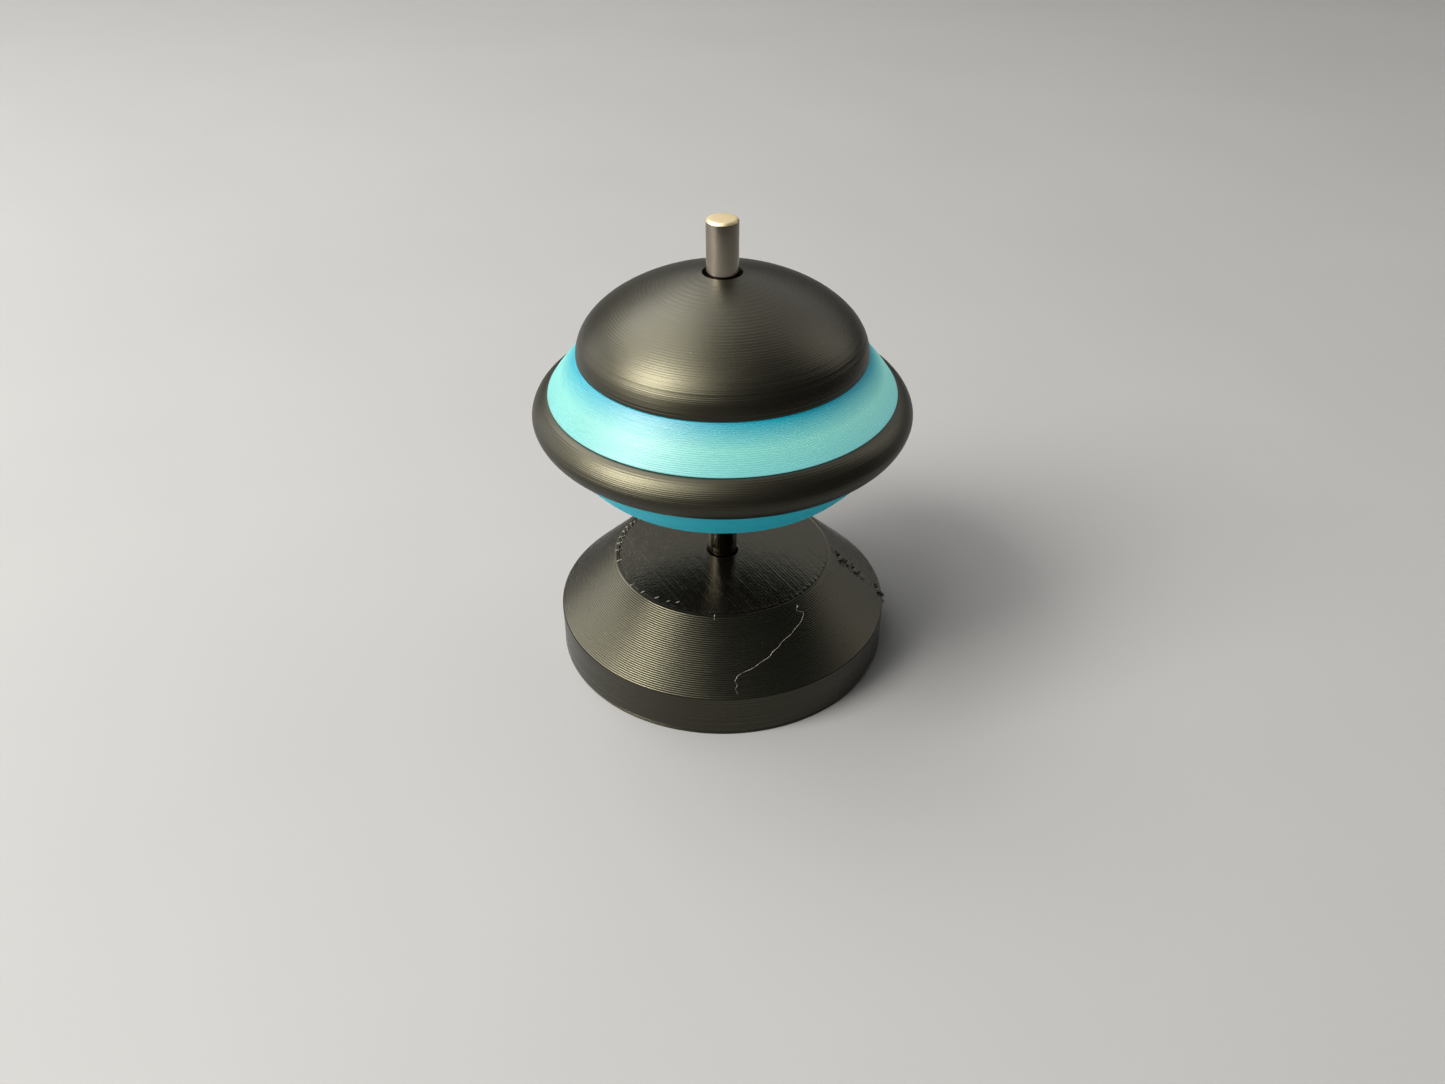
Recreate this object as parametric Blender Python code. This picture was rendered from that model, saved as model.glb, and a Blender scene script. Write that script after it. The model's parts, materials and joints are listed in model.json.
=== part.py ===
"""A light-up spinning top and the printed stand that it spins in.

Metres, +Z up. The origin is the centre of the stand's underside, and the top turns about +Z.
The saucer hangs on a steel rod whose lower end drops into a small ball bearing in the stand.
"""

import math

import bmesh
import bpy
from mathutils import Matrix, Vector

MM = 0.001
SEAM = 0.10 * MM  # gap between printed pieces that are glued or screwed face to face
FIT = 0.15 * MM  # gap round a piece that drops into a pocket
CUT_PAST = 1.0 * MM  # how far a drill runs past the face that it opens
MERGE = 0.0001 * MM

# Stand
BASE_RADIUS = 23.0 * MM
BASE_WALL_TOP = 6.0 * MM
BASE_TOP_RADIUS = 15.3 * MM
BASE_HEIGHT = 13.5 * MM
BASE_BORE_RADIUS = 2.1 * MM
COVER_RADIUS = 19.5 * MM
COVER_BOTTOM = 0.3 * MM
COVER_TOP = 2.3 * MM
SPIGOT_RADIUS = 5.9 * MM
FOOT_INNER_RADIUS = 6.2 * MM
FOOT_OUTER_RADIUS = 10.4 * MM
FOOT_HEIGHT = 0.9 * MM
PAD_RADIUS = 2.15 * MM
PAD_BOTTOM = 1.8 * MM
PAD_TOP = 3.1 * MM
BASE_SCREW_CIRCLE = 13.5 * MM
BASE_SCREW_LENGTH = 7.0 * MM

# Ball bearing
BEARING_BOTTOM = 5.0 * MM
BEARING_WIDTH = 4.0 * MM
BEARING_BORE_RADIUS = 2.08 * MM
BEARING_RADIUS = 6.0 * MM
BALL_RADIUS = 1.0 * MM
BALL_CIRCLE = 4.0 * MM
BALL_COUNT = 7
GROOVE_RADIUS = 1.07 * MM
SHOULDER = 0.85 * MM  # from the ball circle to each race's shoulder
CAGE_HALF_WALL = 0.6 * MM
CAGE_BELOW = 1.7 * MM
CAGE_ABOVE = 0.4 * MM
CAGE_POCKET_RADIUS = 1.12 * MM

# Rod
SHAFT_RADIUS = 2.0 * MM
SHAFT_BOTTOM = 3.2 * MM
SHAFT_TOP = 61.3 * MM
SHAFT_CHAMFER = 0.3 * MM
SHAFT_TIP_RADIUS = 4.0 * MM  # of the ball end that stands on the thrust pad

# Saucer shell
EQUATOR = 36.7 * MM
RIM_RADIUS = 24.45 * MM
RIM_HALF_HEIGHT = 2.65 * MM
RIM_INNER_RADIUS = 19.2 * MM
RIM_POWER = 1.2  # 1 makes the rim's section half an ellipse, 2 makes it a point
LEDGE_RADIUS = 17.8 * MM
LEDGE_THICKNESS = 0.7 * MM
BAND_RADIUS = 22.3 * MM
BAND_HEIGHT = 4.95 * MM
BAND_WALL = 2.0 * MM
BAND_BULGE = 0.17 * MM
CAP_RADIUS = 18.4 * MM
CAP_WALL = 1.6 * MM
CAP_HOLE_RADIUS = 2.45 * MM
DOME_HEIGHT = 10.6 * MM
DOME_SHOULDER = 1.41  # lower makes the dome's top more of a cone
DOME_EDGE = 2.05  # higher makes the dome's edge stand more upright
CAP_SPIGOT_RADIUS = 16.1 * MM
CAP_SPIGOT_INNER = 15.0 * MM
CAP_SPIGOT_DEPTH = 1.4 * MM
BOTTOM_COVER_RADIUS = 16.7 * MM
BOTTOM_COVER_THICKNESS = 1.8 * MM
CASE_SCREW_CIRCLE = 13.4 * MM
CASE_SCREW_TOP = 47.0 * MM
BOSS_RADIUS = 1.9 * MM
BOSS_BOTTOM = 41.5 * MM
BOSS_TOP = 49.2 * MM

# Screws
SCREW_RADIUS = 1.0 * MM
SCREW_HEAD_RADIUS = 1.9 * MM
SCREW_HEAD_HEIGHT = 0.9 * MM
SCREW_CLEARANCE = 1.2 * MM
SCREW_RUN_OUT = 1.0 * MM  # how much deeper than its screw a blind hole is
COUNTERBORE_RADIUS = 2.1 * MM
COUNTERBORE_DEPTH = 1.1 * MM
SOCKET_RADIUS = 0.8 * MM
SOCKET_DEPTH = 0.55 * MM
HEAD_SINK = 0.1 * MM  # how far a head sits inside its counterbore's mouth

# What clamps the saucer on the rod
COLLAR_BORE_RADIUS = 2.1 * MM
COLLAR_RADIUS = 4.0 * MM
LOWER_COLLAR_BOTTOM = 25.0 * MM
LOWER_COLLAR_HEIGHT = 3.9 * MM
UPPER_COLLAR_BOTTOM = 49.15 * MM
UPPER_COLLAR_HEIGHT = 2.75 * MM
GRUB_RADIUS = 0.7 * MM
GRUB_HOLE_RADIUS = 0.85 * MM
GRUB_INNER_END = 2.2 * MM
GRUB_OUTER_END = 3.8 * MM
GRUB_SOCKET_RADIUS = 0.4 * MM
HUB_BOTTOM = 31.1 * MM
HUB_TOP = 49.0 * MM
HUB_FLANGE_RADIUS = 6.0 * MM
HUB_FLANGE_BOTTOM = 38.5 * MM
HUB_FLANGE_TOP = 39.5 * MM

# Cells and their straps
CELL_COUNT = 3
CELL_RADIUS = 5.8 * MM
CELL_CAP_RADIUS = 4.3 * MM
CELL_CAN_HEIGHT = 4.9 * MM
CELL_HEIGHT = 5.4 * MM
CELL_BOTTOM = 31.4 * MM
CELL_CIRCLE = 11.0 * MM
TRAY_BOTTOM = 31.4 * MM
TRAY_TOP = 36.4 * MM
TRAY_LOBE_RADIUS = 6.9 * MM
TRAY_POCKET_RADIUS = 6.0 * MM
TRAY_CENTRE_RADIUS = 6.5 * MM
TRAY_HOLE_RADIUS = 4.3 * MM
STRAP_THICKNESS = 0.2 * MM
STRAP_INNER_RADIUS = 8.4 * MM
STRAP_OUTER_RADIUS = 11.6 * MM
STRAP_OVERLAP = 12.0  # degrees past a cell's centre
TAB_HALF_ANGLE = 14.0
CELL_EDGE = 0.25 * MM

# Circuit board and what stands on it
BOARD_BOTTOM = 37.35 * MM
BOARD_THICKNESS = 1.0 * MM
BOARD_RADIUS = 18.9 * MM
BOARD_HOLE_RADIUS = 4.3 * MM
LED_CIRCLE = 15.8 * MM
LED_SIDE = 2.8 * MM
LED_BLOCK_HEIGHT = 0.9 * MM
LED_LENS_RADIUS = 1.1 * MM
LED_LENS_RISE = 0.25 * MM  # from the package's face to the lens's centre
UPPER_LED_ANGLE = 30.0
LOWER_LED_ANGLE = 75.0
BLOCK_BEVEL = 0.15 * MM  # along every edge of a moulded block
CHIP_SIZE = (5.0 * MM, 4.0 * MM, 1.3 * MM)
CHIP_CIRCLE = 10.0 * MM
CHIP_ANGLE = 90.0
RESISTOR_SIZE = (3.2 * MM, 1.6 * MM, 0.6 * MM)
RESISTOR_CIRCLE = 10.5 * MM
RESISTOR_ANGLE = 220.0

# Centrifugal switch, along +X
SWITCH_INNER_END = 6.6 * MM
SWITCH_OUTER_END = 12.0 * MM
SWITCH_HALF_WIDTH = 2.0 * MM
SWITCH_HEIGHT = 3.8 * MM
SWITCH_BORE_RADIUS = 1.35 * MM
SWITCH_FLOOR = 0.8 * MM
SLUG_RADIUS = 1.25 * MM
SLUG_LENGTH = 3.0 * MM
SLUG_CHAMFER = 0.2 * MM
CONTACT_X = 12.25 * MM
CONTACT_THICKNESS = 0.25 * MM
CONTACT_HALF_WIDTH = 1.5 * MM
CONTACT_HEIGHT = 3.4 * MM
CONTACT_FOOT = 1.9 * MM

# Facets round a turned piece
SHELL_STEPS = 48
SHAFT_STEPS = 32
CELL_STEPS = 28
SMALL_STEPS = 24
SCREW_STEPS = 12
SOCKET_SIDES = 6

# Facets along a curved section
DOME_STEPS = 9
DOME_INSIDE_STEPS = 4
LIP_STEPS = 8
BAND_STEPS = 3
TIP_STEPS = 3
GROOVE_STEPS = 4
STRAP_END_STEPS = 5
STRAP_FACET = 12.0  # degrees
BALL_SEGMENTS = (10, 7)
LENS_SEGMENTS = (12, 8)
SHARP_ANGLE = 32.0  # an edge at least this sharp, in degrees, stays crisp

BAND_TOP = EQUATOR + RIM_HALF_HEIGHT + BAND_HEIGHT
SAUCER_BOTTOM = EQUATOR - RIM_HALF_HEIGHT - BAND_HEIGHT
BEARING_CENTRE = BEARING_BOTTOM + BEARING_WIDTH / 2
BOARD_TOP = BOARD_BOTTOM + BOARD_THICKNESS
SWITCH_CENTRE = BOARD_TOP + FIT + SWITCH_HEIGHT / 2

CELL_ANGLES = [360.0 * i / CELL_COUNT for i in range(CELL_COUNT)]
SCREW_ANGLES = [angle + 60.0 for angle in CELL_ANGLES]


def clear_scene():
    for obj in list(bpy.data.objects):
        bpy.data.objects.remove(obj, do_unlink=True)


def material(name, colour, roughness, metallic=0.0, transmission=0.0):
    made = bpy.data.materials.new(name)
    made.use_nodes = True
    made.diffuse_color = (*colour, 1.0)
    shader = made.node_tree.nodes["Principled BSDF"]
    shader.inputs["Base Color"].default_value = (*colour, 1.0)
    shader.inputs["Roughness"].default_value = roughness
    shader.inputs["Metallic"].default_value = metallic
    shader.inputs["Transmission Weight"].default_value = transmission
    return made


def frame(name, location, parent=None):
    """An empty that marks a joint's axis and carries the pieces that move about it."""
    empty = bpy.data.objects.new(name, None)
    empty.empty_display_size = BALL_CIRCLE
    empty.parent = parent
    bpy.context.scene.collection.objects.link(empty)
    origin = Vector(location)
    if parent:
        origin -= parent_origin(parent)
    empty.location = origin
    return empty


def parent_origin(obj):
    """Where a frame is in the world. Frames are never turned, so their locations add up."""
    origin = Vector(obj.location)
    while obj.parent:
        obj = obj.parent
        origin += obj.location
    return origin


def add(name, mesh, finish, parent, location=(0.0, 0.0, 0.0), turn=None):
    """A new object of the mesh at a place in the world, carried by its parent frame."""
    obj = bpy.data.objects.new(name, mesh)
    if not mesh.materials:
        mesh.materials.append(finish)
    obj.parent = parent
    place = Matrix.Translation(Vector(location) - parent_origin(parent))
    obj.matrix_local = place @ turn if turn else place
    bpy.context.scene.collection.objects.link(obj)
    return obj


def mesh_from(bm, name):
    """The bmesh as a mesh, its faces outward and its round sides smooth."""
    bmesh.ops.recalc_face_normals(bm, faces=bm.faces)
    mesh = bpy.data.meshes.new(name)
    bm.to_mesh(mesh)
    bm.free()
    mesh.shade_smooth()
    mesh.set_sharp_from_angle(angle=math.radians(SHARP_ANGLE))
    return mesh


def turned(name, outline, steps=SHELL_STEPS):
    """A solid of revolution about Z. An outline of (radius, height) that starts and ends on the axis stays
    open there, and any other is closed into a ring."""
    bm = bmesh.new()
    verts = [bm.verts.new((radius, 0.0, height)) for radius, height in outline]
    pairs = list(zip(verts, verts[1:]))
    if outline[0][0] > 0:
        pairs.append((verts[-1], verts[0]))
    edges = [bm.edges.new(pair) for pair in pairs]
    bmesh.ops.spin(bm, geom=verts + edges, cent=(0, 0, 0), axis=(0, 0, 1), angle=math.tau, steps=steps)
    bmesh.ops.remove_doubles(bm, verts=bm.verts, dist=MERGE)
    return mesh_from(bm, name)


def block(name, size, centre=(0.0, 0.0, 0.0)):
    """A box with bevelled edges."""
    bm = bmesh.new()
    bmesh.ops.create_cube(bm, size=1.0, matrix=Matrix.Translation(centre) @ Matrix.Diagonal((*size, 1.0)))
    bmesh.ops.bevel(bm, geom=bm.edges, offset=BLOCK_BEVEL, segments=1, affect="EDGES", clamp_overlap=True)
    return mesh_from(bm, name)


def extruded(name, outline, depth):
    """A flat outline of (x, z) points, extruded along Y by depth about the XZ plane."""
    bm = bmesh.new()
    verts = [bm.verts.new((x, -depth / 2, z)) for x, z in outline]
    face = bm.faces.new(verts)
    grown = bmesh.ops.extrude_face_region(bm, geom=[face])
    moved = [item for item in grown["geom"] if isinstance(item, bmesh.types.BMVert)]
    bmesh.ops.translate(bm, verts=moved, vec=(0, depth, 0))
    return mesh_from(bm, name)


def arc_strip(name, start, end, inner, outer, thickness):
    """A flat strip along an arc about Z, from one angle in degrees to the other, with rounded ends."""
    middle, half = (inner + outer) / 2, (outer - inner) / 2
    steps = math.ceil((end - start) / STRAP_FACET)
    points = []
    for i in range(steps + 1):
        angle = math.radians(start + (end - start) * i / steps)
        points.append(Vector((outer * math.cos(angle), outer * math.sin(angle), 0)))
    points += end_round(end, middle, half, 1)
    for i in range(steps, -1, -1):
        angle = math.radians(start + (end - start) * i / steps)
        points.append(Vector((inner * math.cos(angle), inner * math.sin(angle), 0)))
    points += end_round(start, middle, half, -1)
    bm = bmesh.new()
    face = bm.faces.new([bm.verts.new(point) for point in points])
    grown = bmesh.ops.extrude_face_region(bm, geom=[face])
    moved = [item for item in grown["geom"] if isinstance(item, bmesh.types.BMVert)]
    bmesh.ops.translate(bm, verts=moved, vec=(0, 0, thickness))
    return mesh_from(bm, name)


def end_round(angle, middle, half, way):
    """The points of a strip's half-round end, between its outer and inner corners."""
    along = math.radians(angle)
    out = Vector((math.cos(along), math.sin(along), 0))
    past = Vector((-math.sin(along), math.cos(along), 0)) * way
    turns = [math.pi * i / STRAP_END_STEPS for i in range(1, STRAP_END_STEPS)]
    return [out * (middle + way * half * math.cos(t)) + past * half * math.sin(t) for t in turns]


def cylinder(name, radius, length, steps, turn=None):
    """A plain cylinder about Z, standing on its origin."""
    bm = bmesh.new()
    bmesh.ops.create_cone(
        bm, cap_ends=True, segments=steps, radius1=radius, radius2=radius, depth=length,
        matrix=Matrix.Translation((0, 0, length / 2)),
    )
    if turn:
        bmesh.ops.transform(bm, matrix=turn, verts=bm.verts)
    return mesh_from(bm, name)


def sphere(name, radius, around, down):
    bm = bmesh.new()
    bmesh.ops.create_uvsphere(bm, u_segments=around, v_segments=down, radius=radius)
    return mesh_from(bm, name)


def helper(mesh, location):
    """A hidden object for a Boolean to use."""
    obj = bpy.data.objects.new("tool_" + mesh.name, mesh)
    obj.location = location
    obj.hide_render = True
    obj.display_type = "WIRE"
    bpy.context.scene.collection.objects.link(obj)
    return obj


def combine(obj, tool, operation="DIFFERENCE"):
    boolean = obj.modifiers.new("Boolean", "BOOLEAN")
    boolean.operation = operation
    boolean.object = tool
    boolean.solver = "EXACT"


def drill(obj, radius, bottom, top, x=0.0, y=0.0, steps=SCREW_STEPS):
    """A vertical round hole through the object, between two heights."""
    combine(obj, helper(cylinder("hole", radius, top - bottom, steps), (x, y, bottom)))


def settled(mesh_name, obj, finish):
    """The object's mesh with its modifiers applied. The object itself is removed."""
    bpy.context.view_layer.update()
    graph = bpy.context.evaluated_depsgraph_get()
    mesh = bpy.data.meshes.new_from_object(obj.evaluated_get(graph))
    mesh.name = mesh_name
    mesh.materials.clear()
    mesh.materials.append(finish)
    bpy.data.objects.remove(obj, do_unlink=True)
    return mesh


def polar(radius, degrees, height=0.0):
    angle = math.radians(degrees)
    return (radius * math.cos(angle), radius * math.sin(angle), height)


def arc(centre_r, centre_z, radius, start, end, steps):
    """Points of (radius, height) along an arc of the section, between two angles in degrees."""
    turns = [math.radians(start + (end - start) * i / steps) for i in range(steps + 1)]
    return [(centre_r + radius * math.cos(t), centre_z + radius * math.sin(t)) for t in turns]


# ---- Stand ----


def base_shell(finish, parent):
    recess = COVER_RADIUS + FIT
    pocket = BEARING_RADIUS + FIT
    pocket_top = BEARING_BOTTOM + BEARING_WIDTH + FIT
    outline = [
        (BASE_BORE_RADIUS, BASE_HEIGHT),
        (BASE_TOP_RADIUS, BASE_HEIGHT),
        (BASE_RADIUS, BASE_WALL_TOP),
        (BASE_RADIUS, 0.0),
        (recess, 0.0),
        (recess, COVER_TOP + SEAM),
        (pocket, COVER_TOP + SEAM),
        (pocket, pocket_top),
        (BASE_BORE_RADIUS, pocket_top),
    ]
    shell = add("base_shell", turned("base_shell", outline), finish, parent)
    for angle in SCREW_ANGLES:
        x, y, _ = polar(BASE_SCREW_CIRCLE, angle)
        drill(shell, SCREW_CLEARANCE, COVER_TOP - SEAM, COVER_TOP + BASE_SCREW_LENGTH + SCREW_RUN_OUT, x, y)


def base_cover(finish, parent):
    spigot_top = BEARING_BOTTOM - FIT
    groove_top = FOOT_HEIGHT + SEAM
    outline = [
        (0.0, COVER_BOTTOM),
        (FOOT_INNER_RADIUS - FIT, COVER_BOTTOM),
        (FOOT_INNER_RADIUS - FIT, groove_top),
        (FOOT_OUTER_RADIUS + FIT, groove_top),
        (FOOT_OUTER_RADIUS + FIT, COVER_BOTTOM),
        (COVER_RADIUS, COVER_BOTTOM),
        (COVER_RADIUS, COVER_TOP),
        (SPIGOT_RADIUS, COVER_TOP),
        (SPIGOT_RADIUS, spigot_top),
        (PAD_RADIUS + FIT, spigot_top),
        (PAD_RADIUS + FIT, PAD_BOTTOM - SEAM),
        (0.0, PAD_BOTTOM - SEAM),
    ]
    cover = add("base_cover", turned("base_cover", outline), finish, parent)
    for angle in SCREW_ANGLES:
        x, y, _ = polar(BASE_SCREW_CIRCLE, angle)
        drill(cover, COUNTERBORE_RADIUS, 0.0, COVER_BOTTOM + COUNTERBORE_DEPTH, x, y)
        drill(cover, SCREW_CLEARANCE, 0.0, COVER_TOP + CUT_PAST, x, y)


def foot_ring(finish, parent):
    outline = [
        (FOOT_INNER_RADIUS, 0.0),
        (FOOT_OUTER_RADIUS, 0.0),
        (FOOT_OUTER_RADIUS, FOOT_HEIGHT),
        (FOOT_INNER_RADIUS, FOOT_HEIGHT),
    ]
    add("foot_ring", turned("foot_ring", outline), finish, parent)


def thrust_pad(finish, parent):
    chamfer = 0.2 * MM
    outline = [
        (0.0, PAD_BOTTOM),
        (PAD_RADIUS, PAD_BOTTOM),
        (PAD_RADIUS, PAD_TOP - chamfer),
        (PAD_RADIUS - chamfer, PAD_TOP),
        (0.0, PAD_TOP),
    ]
    add("thrust_pad", turned("thrust_pad", outline, SMALL_STEPS), finish, parent)


def screw_mesh(name, length, finish):
    """A cap screw whose head's underside is at the origin, pointing up, with a hexagonal socket below."""
    chamfer = 0.15 * MM
    outline = [
        (0.0, -SCREW_HEAD_HEIGHT),
        (SCREW_HEAD_RADIUS - chamfer, -SCREW_HEAD_HEIGHT),
        (SCREW_HEAD_RADIUS, -SCREW_HEAD_HEIGHT + chamfer),
        (SCREW_HEAD_RADIUS, 0.0),
        (SCREW_RADIUS, 0.0),
        (SCREW_RADIUS, length - 2 * chamfer),
        (SCREW_RADIUS - 2 * chamfer, length),
        (0.0, length),
    ]
    blank = bpy.data.objects.new(name, turned(name, outline, SCREW_STEPS))
    bpy.context.scene.collection.objects.link(blank)
    socket_length = SCREW_HEAD_HEIGHT + SOCKET_DEPTH
    bottom = SOCKET_DEPTH - SCREW_HEAD_HEIGHT - socket_length
    combine(blank, helper(cylinder("socket", SOCKET_RADIUS, socket_length, SOCKET_SIDES), (0, 0, bottom)))
    return settled(name, blank, finish)


def base_screws(finish, parent):
    mesh = screw_mesh("base_screw", BASE_SCREW_LENGTH, finish)
    seat = COVER_BOTTOM + HEAD_SINK + SCREW_HEAD_HEIGHT
    for i, angle in enumerate(SCREW_ANGLES):
        add(f"base_screw_{i + 1}", mesh, finish, parent, polar(BASE_SCREW_CIRCLE, angle, seat))


# ---- Bearing ----


def groove(side, start, end):
    """The ball groove's section, on the outer race for side +1 and on the inner for -1."""
    return arc(BALL_CIRCLE, BEARING_CENTRE, GROOVE_RADIUS * side, start, end, GROOVE_STEPS)


def bearing_races(finish, stand, turning):
    top = BEARING_BOTTOM + BEARING_WIDTH
    reach = math.degrees(math.acos(SHOULDER / GROOVE_RADIUS))
    outer = [
        (BEARING_RADIUS, top),
        (BEARING_RADIUS, BEARING_BOTTOM),
        (BALL_CIRCLE + SHOULDER, BEARING_BOTTOM),
        *groove(1, -reach, reach),
        (BALL_CIRCLE + SHOULDER, top),
    ]
    inner = [
        (BEARING_BORE_RADIUS, top),
        (BEARING_BORE_RADIUS, BEARING_BOTTOM),
        (BALL_CIRCLE - SHOULDER, BEARING_BOTTOM),
        *groove(-1, reach, -reach),
        (BALL_CIRCLE - SHOULDER, top),
    ]
    add("bearing_outer_race", turned("bearing_outer_race", outer, SMALL_STEPS), finish, stand)
    add("bearing_inner_race", turned("bearing_inner_race", inner, SMALL_STEPS), finish, turning)


def bearing_cage(finish, parent):
    outline = [
        (BALL_CIRCLE + CAGE_HALF_WALL, BEARING_CENTRE + CAGE_ABOVE),
        (BALL_CIRCLE + CAGE_HALF_WALL, BEARING_CENTRE - CAGE_BELOW),
        (BALL_CIRCLE - CAGE_HALF_WALL, BEARING_CENTRE - CAGE_BELOW),
        (BALL_CIRCLE - CAGE_HALF_WALL, BEARING_CENTRE + CAGE_ABOVE),
    ]
    cage = add("bearing_cage", turned("bearing_cage", outline, SMALL_STEPS), finish, parent)
    reach = 2 * BALL_CIRCLE
    for i in range(BALL_COUNT):
        outward = Matrix.Rotation(math.tau * i / BALL_COUNT, 4, "Z") @ Matrix.Rotation(math.pi / 2, 4, "Y")
        tool = cylinder("pocket", CAGE_POCKET_RADIUS, reach, SCREW_STEPS, outward)
        combine(cage, helper(tool, (0, 0, BEARING_CENTRE)))


def bearing_balls(finish, parent):
    mesh = sphere("bearing_ball", BALL_RADIUS, *BALL_SEGMENTS)
    for i in range(BALL_COUNT):
        place = polar(BALL_CIRCLE, 360.0 * i / BALL_COUNT, BEARING_CENTRE)
        add(f"bearing_ball_{i + 1}", mesh, finish, parent, place)


# ---- Rod and its collars ----


def shaft(finish, parent):
    edge = -math.degrees(math.acos(SHAFT_RADIUS / SHAFT_TIP_RADIUS))
    tip = arc(0.0, SHAFT_BOTTOM + SHAFT_TIP_RADIUS, SHAFT_TIP_RADIUS, -90, edge, TIP_STEPS)
    outline = [
        (0.0, SHAFT_BOTTOM),
        *tip[1:],
        (SHAFT_RADIUS, SHAFT_TOP - SHAFT_CHAMFER),
        (SHAFT_RADIUS - SHAFT_CHAMFER, SHAFT_TOP),
        (0.0, SHAFT_TOP),
    ]
    add("shaft", turned("shaft", outline, SHAFT_STEPS), finish, parent)


def collar(name, bottom, height, finish, parent):
    chamfer = 0.25 * MM
    outline = [
        (COLLAR_BORE_RADIUS, bottom + height),
        (COLLAR_RADIUS - chamfer, bottom + height),
        (COLLAR_RADIUS, bottom + height - chamfer),
        (COLLAR_RADIUS, bottom + chamfer),
        (COLLAR_RADIUS - chamfer, bottom),
        (COLLAR_BORE_RADIUS, bottom),
    ]
    ring = add(name, turned(name, outline, SMALL_STEPS), finish, parent)
    along_x = Matrix.Rotation(math.pi / 2, 4, "Y")
    tool = cylinder("grub_hole", GRUB_HOLE_RADIUS, 2 * COLLAR_RADIUS, SCREW_STEPS, along_x)
    combine(ring, helper(tool, (0, 0, bottom + height / 2)))


def grub_mesh(finish):
    """A socket set screw about Z, standing on its origin."""
    length = GRUB_OUTER_END - GRUB_INNER_END
    chamfer = 0.2 * MM
    outline = [
        (0.0, 0.0),
        (GRUB_RADIUS - chamfer, 0.0),
        (GRUB_RADIUS, chamfer),
        (GRUB_RADIUS, length),
        (0.0, length),
    ]
    blank = bpy.data.objects.new("grub_screw", turned("grub_screw", outline, SCREW_STEPS))
    bpy.context.scene.collection.objects.link(blank)
    socket = cylinder("grub_socket", GRUB_SOCKET_RADIUS, length, SOCKET_SIDES)
    combine(blank, helper(socket, (0, 0, length / 2)))
    return settled("grub_screw", blank, finish)


def grub_screws(finish, parent):
    mesh = grub_mesh(finish)
    outward = Matrix.Rotation(math.pi / 2, 4, "Y")
    middles = {
        "lower_grub_screw": LOWER_COLLAR_BOTTOM + LOWER_COLLAR_HEIGHT / 2,
        "upper_grub_screw": UPPER_COLLAR_BOTTOM + UPPER_COLLAR_HEIGHT / 2,
    }
    for name, height in middles.items():
        add(name, mesh, finish, parent, (GRUB_INNER_END, 0.0, height), outward)


def hub(finish, parent):
    outline = [
        (COLLAR_BORE_RADIUS, HUB_TOP),
        (COLLAR_RADIUS, HUB_TOP),
        (COLLAR_RADIUS, HUB_FLANGE_TOP),
        (HUB_FLANGE_RADIUS, HUB_FLANGE_TOP),
        (HUB_FLANGE_RADIUS, HUB_FLANGE_BOTTOM),
        (COLLAR_RADIUS, HUB_FLANGE_BOTTOM),
        (COLLAR_RADIUS, HUB_BOTTOM),
        (COLLAR_BORE_RADIUS, HUB_BOTTOM),
    ]
    add("hub", turned("hub", outline, SMALL_STEPS), finish, parent)


# ---- Saucer shell ----


def dome_rise(radius, edge_radius, height):
    """How far a dome of this edge radius and height stands above its edge, at a radius."""
    return height * (1 - (radius / edge_radius) ** DOME_SHOULDER) ** (1 / DOME_EDGE)


def dome(inner, outer, edge_radius, height, edge_height, steps):
    """Points of the dome's section from the inner radius to the outer, closer together near the edge."""
    points = []
    for i in range(steps + 1):
        radius = inner + (outer - inner) * math.sin(math.pi / 2 * i / steps)
        points.append((radius, edge_height + dome_rise(radius, edge_radius, height)))
    return points


def upper_cap(finish, parent):
    edge = BAND_TOP + SEAM
    outside = dome(CAP_HOLE_RADIUS, CAP_RADIUS, CAP_RADIUS, DOME_HEIGHT, edge, DOME_STEPS)
    inside_radius, inside_height = CAP_RADIUS - CAP_WALL, DOME_HEIGHT - CAP_WALL
    inside = dome(CAP_HOLE_RADIUS, CAP_SPIGOT_INNER, inside_radius, inside_height, edge, DOME_INSIDE_STEPS)
    outline = [
        *outside,
        (CAP_SPIGOT_RADIUS, edge),
        (CAP_SPIGOT_RADIUS, BAND_TOP - CAP_SPIGOT_DEPTH),
        (CAP_SPIGOT_INNER, BAND_TOP - CAP_SPIGOT_DEPTH),
        *reversed(inside),
    ]
    cap = add("upper_cap", turned("upper_cap", outline), finish, parent)
    for angle in SCREW_ANGLES:
        x, y, _ = polar(CASE_SCREW_CIRCLE, angle)
        boss = cylinder("boss", BOSS_RADIUS, BOSS_TOP - BOSS_BOTTOM, SCREW_STEPS)
        combine(cap, helper(boss, (x, y, BOSS_BOTTOM)), "UNION")
        drill(cap, SCREW_CLEARANCE, BOSS_BOTTOM - CUT_PAST, CASE_SCREW_TOP + FIT, x, y)


def band_outside():
    """The upper band's outer side from top to bottom: a straight flare with a slight bulge."""
    top, bottom = Vector((CAP_RADIUS, BAND_TOP)), Vector((BAND_RADIUS, BAND_TOP - BAND_HEIGHT))
    side = bottom - top
    out = Vector((-side.y, side.x)).normalized()
    shares = [i / BAND_STEPS for i in range(BAND_STEPS + 1)]
    return [tuple(top + side * s + out * BAND_BULGE * 4 * s * (1 - s)) for s in shares]


def upper_light_band(finish, parent):
    outside = band_outside()
    foot = BAND_TOP - BAND_HEIGHT + SEAM
    outline = [
        *outside[:-1],
        (BAND_RADIUS, foot),
        (BAND_RADIUS - BAND_WALL, foot),
        (CAP_RADIUS - BAND_WALL, BAND_TOP),
    ]
    add("upper_light_band", turned("upper_light_band", outline), finish, parent)


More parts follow.
